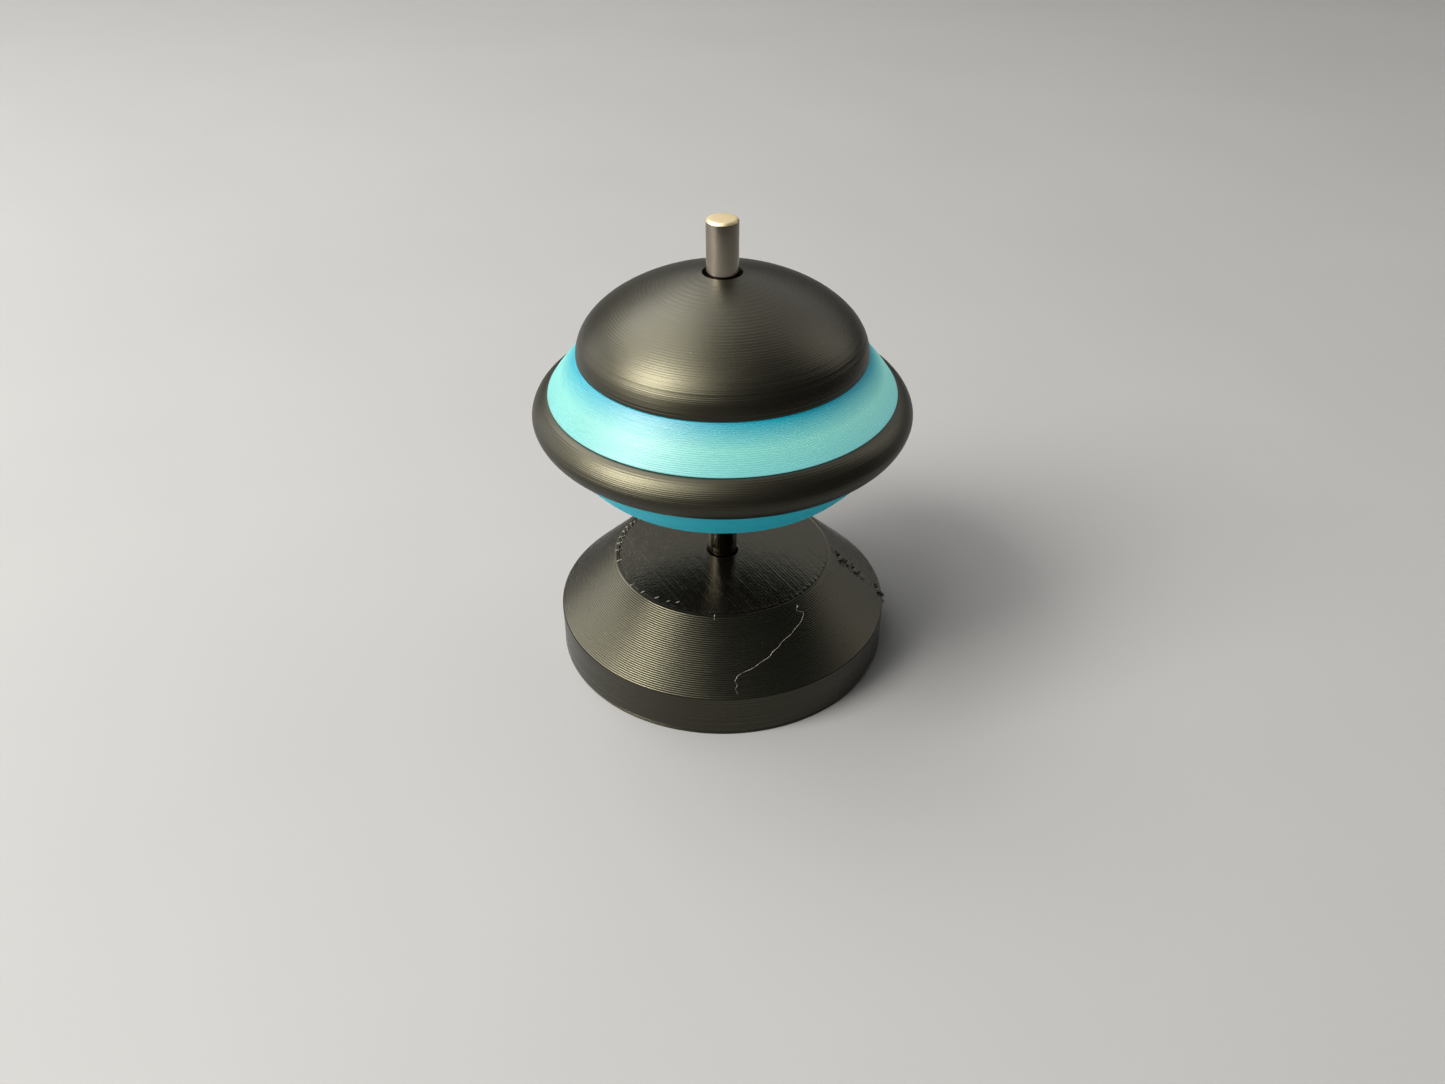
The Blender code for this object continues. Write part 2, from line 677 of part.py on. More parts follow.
def lower_light_band(finish, parent):
    outside = [(r, 2 * EQUATOR - z) for r, z in band_outside()]
    head = SAUCER_BOTTOM + BAND_HEIGHT - SEAM
    mouth = BOTTOM_COVER_RADIUS + FIT
    slope = (BAND_RADIUS - CAP_RADIUS) / BAND_HEIGHT
    mouth_top = SAUCER_BOTTOM + (mouth - CAP_RADIUS + BAND_WALL) / slope
    outline = [
        (BAND_RADIUS - BAND_WALL, head),
        (BAND_RADIUS, head),
        *reversed(outside[:-1]),
        (mouth, SAUCER_BOTTOM),
        (mouth, mouth_top),
    ]
    add("lower_light_band", turned("lower_light_band", outline), finish, parent)


def rim_ring(finish, parent):
    reach = RIM_RADIUS - BAND_RADIUS
    lip = []
    for i in range(LIP_STEPS + 1):
        turn = math.pi * (0.5 - i / LIP_STEPS)
        out = math.cos(turn) ** RIM_POWER if 0 < i < LIP_STEPS else 0.0
        up = math.copysign(abs(math.sin(turn)) ** RIM_POWER, turn)
        lip.append((BAND_RADIUS + reach * out, EQUATOR + RIM_HALF_HEIGHT * up))
    ledge_top = BOARD_BOTTOM - FIT
    ledge_foot = ledge_top - LEDGE_THICKNESS
    outline = [
        *lip,
        (RIM_INNER_RADIUS, EQUATOR - RIM_HALF_HEIGHT),
        (RIM_INNER_RADIUS, ledge_foot - (RIM_INNER_RADIUS - LEDGE_RADIUS) / 2),
        (LEDGE_RADIUS, ledge_foot),
        (LEDGE_RADIUS, ledge_top),
        (RIM_INNER_RADIUS, ledge_top),
        (RIM_INNER_RADIUS, EQUATOR + RIM_HALF_HEIGHT),
    ]
    add("rim_ring", turned("rim_ring", outline), finish, parent)


def bottom_cover(finish, parent):
    top = SAUCER_BOTTOM + BOTTOM_COVER_THICKNESS
    outline = [
        (CAP_HOLE_RADIUS, top),
        (BOTTOM_COVER_RADIUS, top),
        (BOTTOM_COVER_RADIUS, SAUCER_BOTTOM),
        (CAP_HOLE_RADIUS, SAUCER_BOTTOM),
    ]
    cover = add("bottom_cover", turned("bottom_cover", outline), finish, parent)
    for angle in SCREW_ANGLES:
        x, y, _ = polar(CASE_SCREW_CIRCLE, angle)
        drill(cover, COUNTERBORE_RADIUS, SAUCER_BOTTOM - CUT_PAST, SAUCER_BOTTOM + COUNTERBORE_DEPTH, x, y)
        drill(cover, SCREW_CLEARANCE, SAUCER_BOTTOM - CUT_PAST, top + CUT_PAST, x, y)


def case_screws(finish, parent):
    seat = SAUCER_BOTTOM + HEAD_SINK + SCREW_HEAD_HEIGHT
    mesh = screw_mesh("case_screw", CASE_SCREW_TOP - seat, finish)
    for i, angle in enumerate(SCREW_ANGLES):
        add(f"case_screw_{i + 1}", mesh, finish, parent, polar(CASE_SCREW_CIRCLE, angle, seat))


# ---- Cells ----


def battery_tray(finish, parent):
    height = TRAY_TOP - TRAY_BOTTOM
    centre = cylinder("battery_tray", TRAY_CENTRE_RADIUS, height, CELL_STEPS)
    tray = add("battery_tray", centre, finish, parent, (0, 0, TRAY_BOTTOM))
    for angle in CELL_ANGLES:
        lobe = cylinder("lobe", TRAY_LOBE_RADIUS, height, CELL_STEPS)
        combine(tray, helper(lobe, polar(CELL_CIRCLE, angle, TRAY_BOTTOM)), "UNION")
    below, above = TRAY_BOTTOM - CUT_PAST, TRAY_TOP + CUT_PAST
    for angle in CELL_ANGLES:
        x, y, _ = polar(CELL_CIRCLE, angle)
        drill(tray, TRAY_POCKET_RADIUS, below, above, x, y, CELL_STEPS)
    drill(tray, TRAY_HOLE_RADIUS, below, above, steps=SMALL_STEPS)


def button_cells(finish, parent):
    outline = [
        (0.0, 0.0),
        (CELL_RADIUS - CELL_EDGE, 0.0),
        (CELL_RADIUS, CELL_EDGE),
        (CELL_RADIUS, CELL_CAN_HEIGHT - CELL_EDGE),
        (CELL_RADIUS - CELL_EDGE, CELL_CAN_HEIGHT),
        (CELL_CAP_RADIUS, CELL_CAN_HEIGHT),
        (CELL_CAP_RADIUS - CELL_EDGE, CELL_HEIGHT),
        (0.0, CELL_HEIGHT),
    ]
    mesh = turned("button_cell", outline, CELL_STEPS)
    for i, angle in enumerate(CELL_ANGLES):
        add(f"button_cell_{i + 1}", mesh, finish, parent, polar(CELL_CIRCLE, angle, CELL_BOTTOM))


def cell_straps(finish, parent):
    """The cells are in series: a strap joins the first two on top and the last two below."""
    above = CELL_BOTTOM + CELL_HEIGHT + SEAM
    below = CELL_BOTTOM - SEAM - STRAP_THICKNESS
    first, second, third = CELL_ANGLES
    spans = {
        "upper_cell_strap": (first - STRAP_OVERLAP, second + STRAP_OVERLAP, above),
        "lower_cell_strap": (second - STRAP_OVERLAP, third + STRAP_OVERLAP, below),
        "positive_tab": (third - TAB_HALF_ANGLE, third + TAB_HALF_ANGLE, above),
        "negative_tab": (first - TAB_HALF_ANGLE, first + TAB_HALF_ANGLE, below),
    }
    for name, (start, end, height) in spans.items():
        strip = arc_strip(name, start, end, STRAP_INNER_RADIUS, STRAP_OUTER_RADIUS, STRAP_THICKNESS)
        add(name, strip, finish, parent, (0, 0, height))


# ---- Board ----


def circuit_board(finish, parent):
    outline = [
        (BOARD_HOLE_RADIUS, BOARD_TOP),
        (BOARD_RADIUS, BOARD_TOP),
        (BOARD_RADIUS, BOARD_BOTTOM),
        (BOARD_HOLE_RADIUS, BOARD_BOTTOM),
    ]
    board = add("circuit_board", turned("circuit_board", outline), finish, parent)
    for angle in SCREW_ANGLES:
        x, y, _ = polar(CASE_SCREW_CIRCLE, angle)
        drill(board, SCREW_CLEARANCE, BOARD_BOTTOM - CUT_PAST, BOARD_TOP + CUT_PAST, x, y)


def led_mesh(finish):
    """A square package with a dome lens, standing on its origin."""
    size = (LED_SIDE, LED_SIDE, LED_BLOCK_HEIGHT)
    body = block("led", size, (0, 0, LED_BLOCK_HEIGHT / 2))
    blank = bpy.data.objects.new("led", body)
    bpy.context.scene.collection.objects.link(blank)
    lens = sphere("lens", LED_LENS_RADIUS, *LENS_SEGMENTS)
    combine(blank, helper(lens, (0, 0, LED_BLOCK_HEIGHT + LED_LENS_RISE)), "UNION")
    return settled("led", blank, finish)


def leds(finish, parent):
    mesh = led_mesh(finish)
    above, below = BOARD_TOP + SEAM, BOARD_BOTTOM - SEAM
    for i in range(CELL_COUNT):
        upper, lower = UPPER_LED_ANGLE + CELL_ANGLES[i], LOWER_LED_ANGLE + CELL_ANGLES[i]
        turn = Matrix.Rotation(math.radians(upper), 4, "Z")
        add(f"led_upper_{i + 1}", mesh, finish, parent, polar(LED_CIRCLE, upper, above), turn)
        over = Matrix.Rotation(math.radians(lower), 4, "Z") @ Matrix.Rotation(math.pi, 4, "X")
        add(f"led_lower_{i + 1}", mesh, finish, parent, polar(LED_CIRCLE, lower, below), over)


def board_part(name, size, circle, angle, finish, parent):
    """A moulded block lying on the board's upper side, square to the board's radius."""
    mesh = block(name, size, (0, 0, size[2] / 2))
    turn = Matrix.Rotation(math.radians(angle + 90), 4, "Z")
    add(name, mesh, finish, parent, polar(circle, angle, BOARD_TOP + SEAM), turn)


def switch(plastic, brass, steel, parent, sliding):
    length = SWITCH_OUTER_END - SWITCH_INNER_END
    middle = (SWITCH_OUTER_END + SWITCH_INNER_END) / 2
    size = (length, 2 * SWITCH_HALF_WIDTH, SWITCH_HEIGHT)
    body = block("switch_housing", size)
    housing = add("switch_housing", body, plastic, parent, (middle, 0, SWITCH_CENTRE))
    along_x = Matrix.Rotation(math.pi / 2, 4, "Y")
    bore = cylinder("switch_bore", SWITCH_BORE_RADIUS, length, SCREW_STEPS, along_x)
    combine(housing, helper(bore, (SWITCH_INNER_END + SWITCH_FLOOR, 0, SWITCH_CENTRE)))

    outline = [
        (0.0, 0.0),
        (SLUG_RADIUS - SLUG_CHAMFER, 0.0),
        (SLUG_RADIUS, SLUG_CHAMFER),
        (SLUG_RADIUS, SLUG_LENGTH - SLUG_CHAMFER),
        (SLUG_RADIUS - SLUG_CHAMFER, SLUG_LENGTH),
        (0.0, SLUG_LENGTH),
    ]
    rest = SWITCH_INNER_END + SWITCH_FLOOR + FIT
    slug = turned("switch_slug", outline, SCREW_STEPS)
    add("switch_slug", slug, steel, sliding, (rest, 0, SWITCH_CENTRE), along_x)

    foot = BOARD_TOP + SEAM
    outline = [
        (CONTACT_X, foot),
        (CONTACT_X + CONTACT_FOOT, foot),
        (CONTACT_X + CONTACT_FOOT, foot + CONTACT_THICKNESS),
        (CONTACT_X + CONTACT_THICKNESS, foot + CONTACT_THICKNESS),
        (CONTACT_X + CONTACT_THICKNESS, foot + CONTACT_HEIGHT),
        (CONTACT_X, foot + CONTACT_HEIGHT),
    ]
    leaf = extruded("switch_contact", outline, 2 * CONTACT_HALF_WIDTH)
    add("switch_contact", leaf, brass, parent)


def main():
    clear_scene()
    black = material("black_print", (0.020, 0.019, 0.017), 0.45)
    cyan = material("cyan_print", (0.12, 0.62, 0.66), 0.35, transmission=0.2)
    white = material("white_print", (0.72, 0.72, 0.70), 0.5)
    steel = material("bright_steel", (0.62, 0.60, 0.57), 0.22, 1.0)
    hardened = material("bearing_steel", (0.70, 0.70, 0.70), 0.15, 1.0)
    zinc = material("zinc_screw", (0.55, 0.55, 0.53), 0.35, 1.0)
    brass = material("nickel_strip", (0.75, 0.70, 0.58), 0.3, 1.0)
    can = material("cell_can", (0.72, 0.72, 0.71), 0.2, 1.0)
    rubber = material("foot_rubber", (0.03, 0.03, 0.03), 0.85)
    nylon = material("nylon", (0.80, 0.78, 0.70), 0.4)
    board = material("board_green", (0.02, 0.16, 0.07), 0.4)
    lens = material("led_resin", (0.85, 0.93, 0.93), 0.2, transmission=0.5)
    epoxy = material("chip_epoxy", (0.03, 0.03, 0.035), 0.55)
    ceramic = material("resistor_body", (0.06, 0.06, 0.07), 0.5)

    stand = frame("stand_frame", (0, 0, 0))
    turning = frame("spin_axis", (0, 0, BEARING_CENTRE), stand)
    rolling = frame("cage_axis", (0, 0, BEARING_CENTRE), stand)
    top = frame("lift_axis", (0, 0, BEARING_CENTRE), turning)
    sliding = frame("switch_axis", (SWITCH_INNER_END, 0, SWITCH_CENTRE), top)

    base_shell(black, stand)
    base_cover(black, stand)
    foot_ring(rubber, stand)
    thrust_pad(nylon, stand)
    base_screws(zinc, stand)

    bearing_races(hardened, stand, turning)
    bearing_cage(nylon, rolling)
    bearing_balls(hardened, rolling)

    shaft(steel, top)
    collar("lower_collar", LOWER_COLLAR_BOTTOM, LOWER_COLLAR_HEIGHT, steel, top)
    collar("upper_collar", UPPER_COLLAR_BOTTOM, UPPER_COLLAR_HEIGHT, steel, top)
    grub_screws(zinc, top)
    hub(white, top)

    upper_cap(black, top)
    upper_light_band(cyan, top)
    rim_ring(black, top)
    lower_light_band(cyan, top)
    bottom_cover(black, top)
    case_screws(zinc, top)

    battery_tray(white, top)
    button_cells(can, top)
    cell_straps(brass, top)
    circuit_board(board, top)
    leds(lens, top)
    board_part("control_chip", CHIP_SIZE, CHIP_CIRCLE, CHIP_ANGLE, epoxy, top)
    board_part("resistor", RESISTOR_SIZE, RESISTOR_CIRCLE, RESISTOR_ANGLE, ceramic, top)
    switch(white, brass, steel, top, sliding)


main()
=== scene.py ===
"""The looks of a light-up spinning top and the printed stand that it spins in.

Metres, +Z up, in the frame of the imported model. Every printed piece that shows is built again here layer by
layer, the way its plastic was laid down, and every other node keeps its shape and gets a finished material.
"""

import json
import math

import bmesh
import bpy
import numpy as np
from mathutils import Matrix, Vector, noise


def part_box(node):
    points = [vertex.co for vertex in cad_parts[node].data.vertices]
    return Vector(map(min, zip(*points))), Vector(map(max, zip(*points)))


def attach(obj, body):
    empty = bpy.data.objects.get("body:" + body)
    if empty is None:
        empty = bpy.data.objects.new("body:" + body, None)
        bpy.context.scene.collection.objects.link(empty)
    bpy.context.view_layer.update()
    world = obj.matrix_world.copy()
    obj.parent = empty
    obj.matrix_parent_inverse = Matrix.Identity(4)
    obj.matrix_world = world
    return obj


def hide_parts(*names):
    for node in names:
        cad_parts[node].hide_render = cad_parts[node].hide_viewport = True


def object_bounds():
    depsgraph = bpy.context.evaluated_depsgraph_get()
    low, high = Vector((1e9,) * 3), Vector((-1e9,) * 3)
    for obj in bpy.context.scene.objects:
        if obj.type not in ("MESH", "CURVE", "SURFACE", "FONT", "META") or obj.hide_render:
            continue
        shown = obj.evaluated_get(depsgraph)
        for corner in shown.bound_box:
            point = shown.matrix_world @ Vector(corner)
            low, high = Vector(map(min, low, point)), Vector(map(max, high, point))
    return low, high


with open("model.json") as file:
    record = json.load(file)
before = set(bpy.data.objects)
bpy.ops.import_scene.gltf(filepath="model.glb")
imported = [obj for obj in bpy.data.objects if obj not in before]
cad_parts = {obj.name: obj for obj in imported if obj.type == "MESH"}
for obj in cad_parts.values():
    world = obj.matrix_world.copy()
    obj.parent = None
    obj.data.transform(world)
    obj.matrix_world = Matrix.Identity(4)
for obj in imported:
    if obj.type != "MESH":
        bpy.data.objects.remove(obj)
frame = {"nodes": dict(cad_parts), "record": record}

CAD_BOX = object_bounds()
STAND_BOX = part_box("base_shell")

MM = 0.001
LAYER = 0.2 * MM
LINE = 0.43 * MM  # width of one line of a printed top or bottom face

# Stand, beyond what its node's box says
STAND_WALL_TOP = 6.0 * MM
STAND_TOP_RADIUS = 15.3 * MM
STAND_HOLE_RADIUS = 2.1 * MM
STAND_RECESS_DEPTH = 2.4 * MM
HOLE_BREAK = 0.1 * MM  # how far the top's edge at the hole is broken
EDGE_BREAK = 0.08 * MM  # the same at the top's outer edge
TOP_BED = 0.3 * MM  # how far below the top the sheet of straight lines is bedded
PRINT_FIT = 0.15 * MM  # gap round what drops into a printed recess
FOOT_SPREAD = 0.07 * MM  # how far the first layer is squashed out
SEAM_ANGLE = math.radians(-0.3)  # where each layer of the stand starts and ends
LINE_HEADING = math.radians(-60)  # which way the lines of the stand's top run
LINE_GROOVE = 0.008 * MM
LINE_UNEVEN = 0.003 * MM  # how much the lines differ in height
LINE_ROUGH = 0.015 * MM  # depth of the fine unevenness of the lines
LINE_ROUGH_SIZE = (0.30 * MM, 0.25 * MM)  # its size along and across them
FACE_WAVE = 0.005 * MM  # depth of the slow waves of the whole face
FACE_WAVE_SIZE = 1.9 * MM
TURN_BLOB = 0.32 * MM  # height of a blob where the nozzle turned back
TURN_BLOB_REACH = 0.24 * MM
TURN_FILLED = 0.6 * MM  # how far in from a turn its groove is filled
TURN_VOID = 0.32 * MM  # depth of the void left between two turns
BLOB_ANGLE = 172  # where round the edge those blobs are tallest, in degrees
BLOB_SPREAD = 32  # how far round from there they fade, in degrees

# Saucer, beyond what its nodes' boxes say
RIM_POWER = 1.2
RIM_INNER_RADIUS = 19.2 * MM
RIM_LEDGE_RADIUS = 17.8 * MM
RIM_LEDGE = 0.7 * MM  # thickness of the ledge that the board rests on, and height of the slope under it
BAND_WALL = 2.0 * MM
BAND_BULGE = 0.17 * MM
CAP_HOLE_RADIUS = 2.45 * MM
CAP_WALL = 1.6 * MM
CAP_SPIGOT_RADIUS = 16.1 * MM
CAP_SPIGOT_INNER = 15.0 * MM
DOME_SHOULDER = 1.41
DOME_EDGE = 2.05
SAUCER_SEAM_ANGLE = math.radians(100)

# How a printed layer's edge is rounded: (share of the layer's height, share of the groove's depth)
BEAD = ((0.97, 1.0), (0.72, 0.30), (0.42, 0.0), (0.03, 1.0))
# The same across a line of a printed face: (share of the line's width, share of the groove's depth)
RIDGE = ((0.0, 1.0), (0.12, 0.42), (0.3, 0.08), (0.7, 0.08), (0.88, 0.42))

# Where the stand's seam is torn out: (height in mm, depth in mm), and how far its lip stands out beside it
SEAM_PITS = ((12.5, 1.3), (11.3, 0.8), (10.2, 0.8), (9.2, 0.6), (6.6, 1.3), (5.3, 0.7))
SEAM_LIP_SHARE = 0.6  # of the seam's own depth
SEAM_LIP_WIDTH = 0.009  # in radians

# A stray thread of plastic down the stand's flank, from one angle in degrees to another
STRAND_START = -51.0
STRAND_END = -84.5
STRAND_SWEEP = (0.22, 0.72)  # it turns between these shares of the way down
STRAND_STEPS = 150
STRAND_SIDES = 7
STRAND_RADIUS = 0.045 * MM
EDGE_BLOB_ANGLE = -94.0  # where a short blob lies over the top's edge
EDGE_BLOB_RADIUS = 0.09 * MM
# Humps on the stand's top, as (angle in degrees, radius in mm, size), and the half sizes in mm of one
TURN_BEADS = (
    (154.5, 14.5, 0.9), (158.5, 14.6, 1.0), (163, 14.6, 1.0), (169, 14.6, 1.1),
    (175, 14.6, 1.0), (181.5, 14.6, 1.1), (191.5, 14.6, 0.9), (214.5, 14.8, 0.7),
    (223, 14.6, 0.6), (232, 14.2, 0.7), (239, 13.9, 0.6), (244, 13.5, 0.6),
)
TURN_BEAD_SHAPE = (0.50, 0.15, 0.15)
TURN_BEAD_UNEVEN = 0.03 * MM

ROD_CHAMFER = 0.28 * MM
FLOOR_RADIUS = 0.75
STUDIO_SCALE = 1.6  # moves the lights out and enlarges them alike, which only evens the floor
STAND_STEPS = 236
SAUCER_STEPS = 232
ROD_STEPS = 96


# ---- Meshes ----


def link(name, mesh, finish, body, slot, *nodes):
    """A new object of the mesh in the scene, riding on a body in place of the nodes it stands for."""
    obj = bpy.data.objects.new(name, mesh)
    mesh.materials.append(finish)
    bpy.context.scene.collection.objects.link(obj)
    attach(obj, body)
    if nodes:
        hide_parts(*nodes)
    return obj


def finished(bm, name, crease=60):
    """The bmesh as a mesh, faces outward, smooth but for edges sharper than the crease in degrees."""
    bmesh.ops.recalc_face_normals(bm, faces=bm.faces)
    mesh = bpy.data.meshes.new(name)
    bm.to_mesh(mesh)
    bm.free()
    mesh.shade_smooth()
    mesh.set_sharp_from_angle(angle=math.radians(crease))
    return mesh


def even_angles(steps, dense_at=None, dense_reach=math.radians(4), dense_steps=40):
    """Angles round the axis, with extra ones close together round one place."""
    angles = np.arange(steps) * math.tau / steps
    if dense_at is not None:
        extra = dense_at + np.linspace(-dense_reach, dense_reach, dense_steps)
        clear = np.abs((angles - dense_at + math.pi) % math.tau - math.pi) > dense_reach * 1.05
        angles = np.sort(np.concatenate([angles[clear], extra % math.tau]))
    return angles


def turned(name, section, angles, swell=None, crease=60):
    """A ring about Z from a closed section of (radius, height, layer). swell gives how far out each point
    of the section moves at each angle."""
    radius = np.array([point[0] for point in section])[:, None]
    height = np.array([point[1] for point in section])[:, None]
    layer = np.array([point[2] for point in section])
    radius = radius + (swell(layer, angles) if swell else 0.0)
    rows, columns = len(section), len(angles)
    height = height + np.zeros((rows, columns))
    places = np.stack([radius * np.cos(angles), radius * np.sin(angles), height], axis=-1)
    index = np.arange(rows * columns).reshape(rows, columns)
    across, down = np.roll(index, -1, axis=1), np.roll(index, -1, axis=0)
    faces = np.stack([index, across, np.roll(down, -1, axis=1), down], axis=-1)
    mesh = bpy.data.meshes.new(name)
    mesh.from_pydata(places.reshape(-1, 3).tolist(), [], faces.reshape(-1, 4).tolist())
    bm = bmesh.new()
    bm.from_mesh(mesh)
    bpy.data.meshes.remove(mesh)
    bmesh.ops.remove_doubles(bm, verts=bm.verts, dist=0.00001 * MM)
    bmesh.ops.delete(bm, geom=[edge for edge in bm.edges if edge.is_wire], context="EDGES")
    return finished(bm, name, crease)


def plain(points):
    """Section points that belong to no printed layer."""
    return [(radius, height, -1) for radius, height in points]


def printed_side(radius_at, bottom, top, groove, stair, first=0):
    """Section points down the outside of a print, each layer a bead with a rounded edge. stair is 1 where
    each layer is a full step and 0 where the beads follow the slope. first is the lowest layer's number."""
    count = round((top - bottom) / LAYER)
    pitch = (top - bottom) / count
    points = []
    for k in reversed(range(count)):
        middle = bottom + (k + 0.5) * pitch
        slope = (radius_at(middle - pitch / 2) - radius_at(middle + pitch / 2)) / pitch
        steep = 1 / math.hypot(1, slope)
        for share, depth in BEAD:
            height = bottom + (k + share) * pitch
            radius = stair * radius_at(middle) + (1 - stair) * radius_at(height)
            sink = depth * groove
            points.append((radius - sink * steep, height - sink * steep * slope * (1 - stair), first + k))
    return points


def printed_rings(inner, outer, top, depth):
    """Section points outward over a printed face made of rings about the axis."""
    count = round((outer - inner) / LINE)
    width = (outer - inner) / count
    points = []
    for k in range(count):
        for share, low in RIDGE:
            points.append((inner + (k + share) * width, top - low * depth, -1))
    return points


def layer_swell(seed, layers, uneven, seam_angle, seam_height, pits=()):
    """How a print's layers wander in and out: each by its own amount, in slow waves, and at the seam. pits
    are runs of layers, as (first, last, depth), where the seam is torn out."""
    rng = np.random.default_rng(seed)
    offset = rng.normal(0.0, uneven, layers)
    waves = rng.integers(2, 9, layers)
    phase = rng.uniform(0.0, math.tau, layers)
    seam_place = seam_angle + rng.normal(0.0, 0.004, layers)
    seam_rise = seam_height * rng.uniform(-1.0, 0.9, layers)
    seam_width = rng.uniform(0.007, 0.018, layers)
    for first, last, depth in pits:
        seam_rise[first:last] = -depth * rng.uniform(0.75, 1.0, last - first)
        seam_width[first:last] = rng.uniform(0.026, 0.048, last - first)

    def swell(layer, angles):
        k = np.clip(layer, 0, layers - 1)
        amount = offset[k][:, None] + uneven * 0.3 * np.sin(np.outer(waves[k], angles) + phase[k][:, None])
        away = (angles[None, :] - seam_place[k][:, None] + math.pi) % math.tau - math.pi
        amount = amount + seam_rise[k][:, None] * np.exp(-((away / seam_width[k][:, None]) ** 4))
        from_lip = (away + 1.5 * seam_width[k][:, None]) / SEAM_LIP_WIDTH
        amount = amount + SEAM_LIP_SHARE * (np.abs(seam_rise[k][:, None]) * np.exp(-(from_lip**2)))
        return np.where((layer >= 0)[:, None], amount, 0.0)

    return swell


def closed_below(bm, depth):
    """Closes a ring-shaped sheet into a solid: draws its two edges straight down and joins them there."""
    rim = [edge for edge in bm.edges if edge.is_boundary]
    floor = min(vert.co.z for vert in bm.verts) - depth
    grown = bmesh.ops.extrude_edge_only(bm, edges=rim)["geom"]
    for item in grown:
        if isinstance(item, bmesh.types.BMVert):
            item.co.z = floor
    lower = [item for item in grown if isinstance(item, bmesh.types.BMEdge) and item.is_boundary]
    bmesh.ops.bridge_loops(bm, edges=lower)


def straight_lines(name, inner, outer, top, heading, seed):
    """The straight lines of a printed top face, laid to and fro between a round edge and a round hole, with a
    blob wherever the nozzle turned back from one line into the next."""
    rng = np.random.default_rng(seed)
    count = round(2 * outer / LINE)
    pitch = 2 * outer / count
    lift = rng.normal(0.0, LINE_UNEVEN, count)
    blob = rng.uniform(0.5, 1.2, (count + 2, 2)) * TURN_BLOB
    blob_place = rng.uniform(0.22, 0.42, (count + 2, 2)) * MM
    void = rng.uniform(0.1, 1.0, (count + 2, 2)) ** 2 * TURN_VOID
    # Points along half a line: even ones from the middle, then closer ones up to its end
    inward = np.linspace(0.0, 1.0, 52)[:-1]
    near_edge = np.array([1.5, 1.2, 1.0, 0.82, 0.68, 0.55, 0.44, 0.33, 0.22, 0.1, 0.0]) * MM
    rough_along, rough_across = LINE_ROUGH_SIZE
    along = Vector((math.cos(heading), math.sin(heading), 0))
    sideways = Vector((-along.y, along.x, 0))
    bm = bmesh.new()
    for end, side in enumerate((1, -1)):
        before = None
        for line in range(count):
            shares = RIDGE if line < count - 1 else (*RIDGE, (1.0, 1.0))
            for share, low in shares:
                across = max(-outer * 0.9995, min(outer * 0.9995, -outer + (line + share) * pitch))
                far = math.sqrt(outer**2 - across**2)
                near = math.sqrt(max(inner**2 - across**2, 0.0))
                squeeze = min(1.0, (far - near) / (4 * MM))
                turn = 2 * round((line + share - end) / 2) + end
                beside = math.exp(-(((line + share - turn) / 0.8) ** 4))
                tip = far - void[turn, end] * squeeze * (1 - beside)
                even = near + (tip - squeeze * near_edge[0] - near) * inward
                reach = np.concatenate([even, tip - squeeze * near_edge])
                end_spot = along * (side * far) + sideways * across
                end_angle = math.degrees(math.atan2(end_spot.y, end_spot.x))
                from_blobs = (end_angle - BLOB_ANGLE + 180) % 360 - 180
                strength = 0.06 + 0.94 * math.exp(-((from_blobs / BLOB_SPREAD) ** 2))
                row = []
                for v in reach:
                    spot = along * (side * v) + sideways * across
                    dash = Vector((side * v / rough_along, across / rough_across, 0))
                    rough = noise.noise(dash) * LINE_ROUGH + noise.noise(spot / FACE_WAVE_SIZE) * FACE_WAVE
                    depth = tip - v
                    swell = math.exp(-(((depth - blob_place[turn, end]) / TURN_BLOB_REACH) ** 2))
                    swell *= blob[turn, end] * strength * beside
                    filled = beside * math.exp(-((depth / TURN_FILLED) ** 2))
                    spot.z = top - LINE_GROOVE * low * (1 - filled) + lift[line] + rough + swell
                    row.append(bm.verts.new(spot))
                if before:
                    for quad in zip(before, before[1:], row[1:], row):
                        bm.faces.new(quad)
                before = row
    bmesh.ops.remove_doubles(bm, verts=bm.verts, dist=0.002 * MM)
    closed_below(bm, 0.25 * MM)
    return finished(bm, name)


def turn_beads(name, top, heading):
    """Short humps of plastic at the left of a printed face, where the nozzle slowed to turn back. Each lies
    across the lines, with its ends rounded and its surface uneven."""
    bm = bmesh.new()
    for angle, reach, size in TURN_BEADS:
        middle = Matrix.Rotation(math.radians(angle), 4, "Z") @ Vector((reach * MM, 0, 0))
        across = Matrix.Rotation(heading + math.pi / 2, 4, "Z")
        place = Matrix.Translation(middle + Vector((0, 0, top))) @ across
        shape = Matrix.Diagonal((*(Vector(TURN_BEAD_SHAPE) * MM * size), 1.0))
        bead = bmesh.ops.create_uvsphere(bm, u_segments=20, v_segments=12, radius=1.0, matrix=place @ shape)
        for vert in bead["verts"]:
            push = noise.noise(vert.co / (0.22 * MM)) * TURN_BEAD_UNEVEN
            vert.co += (vert.co - middle).normalized() * push
    return finished(bm, name)


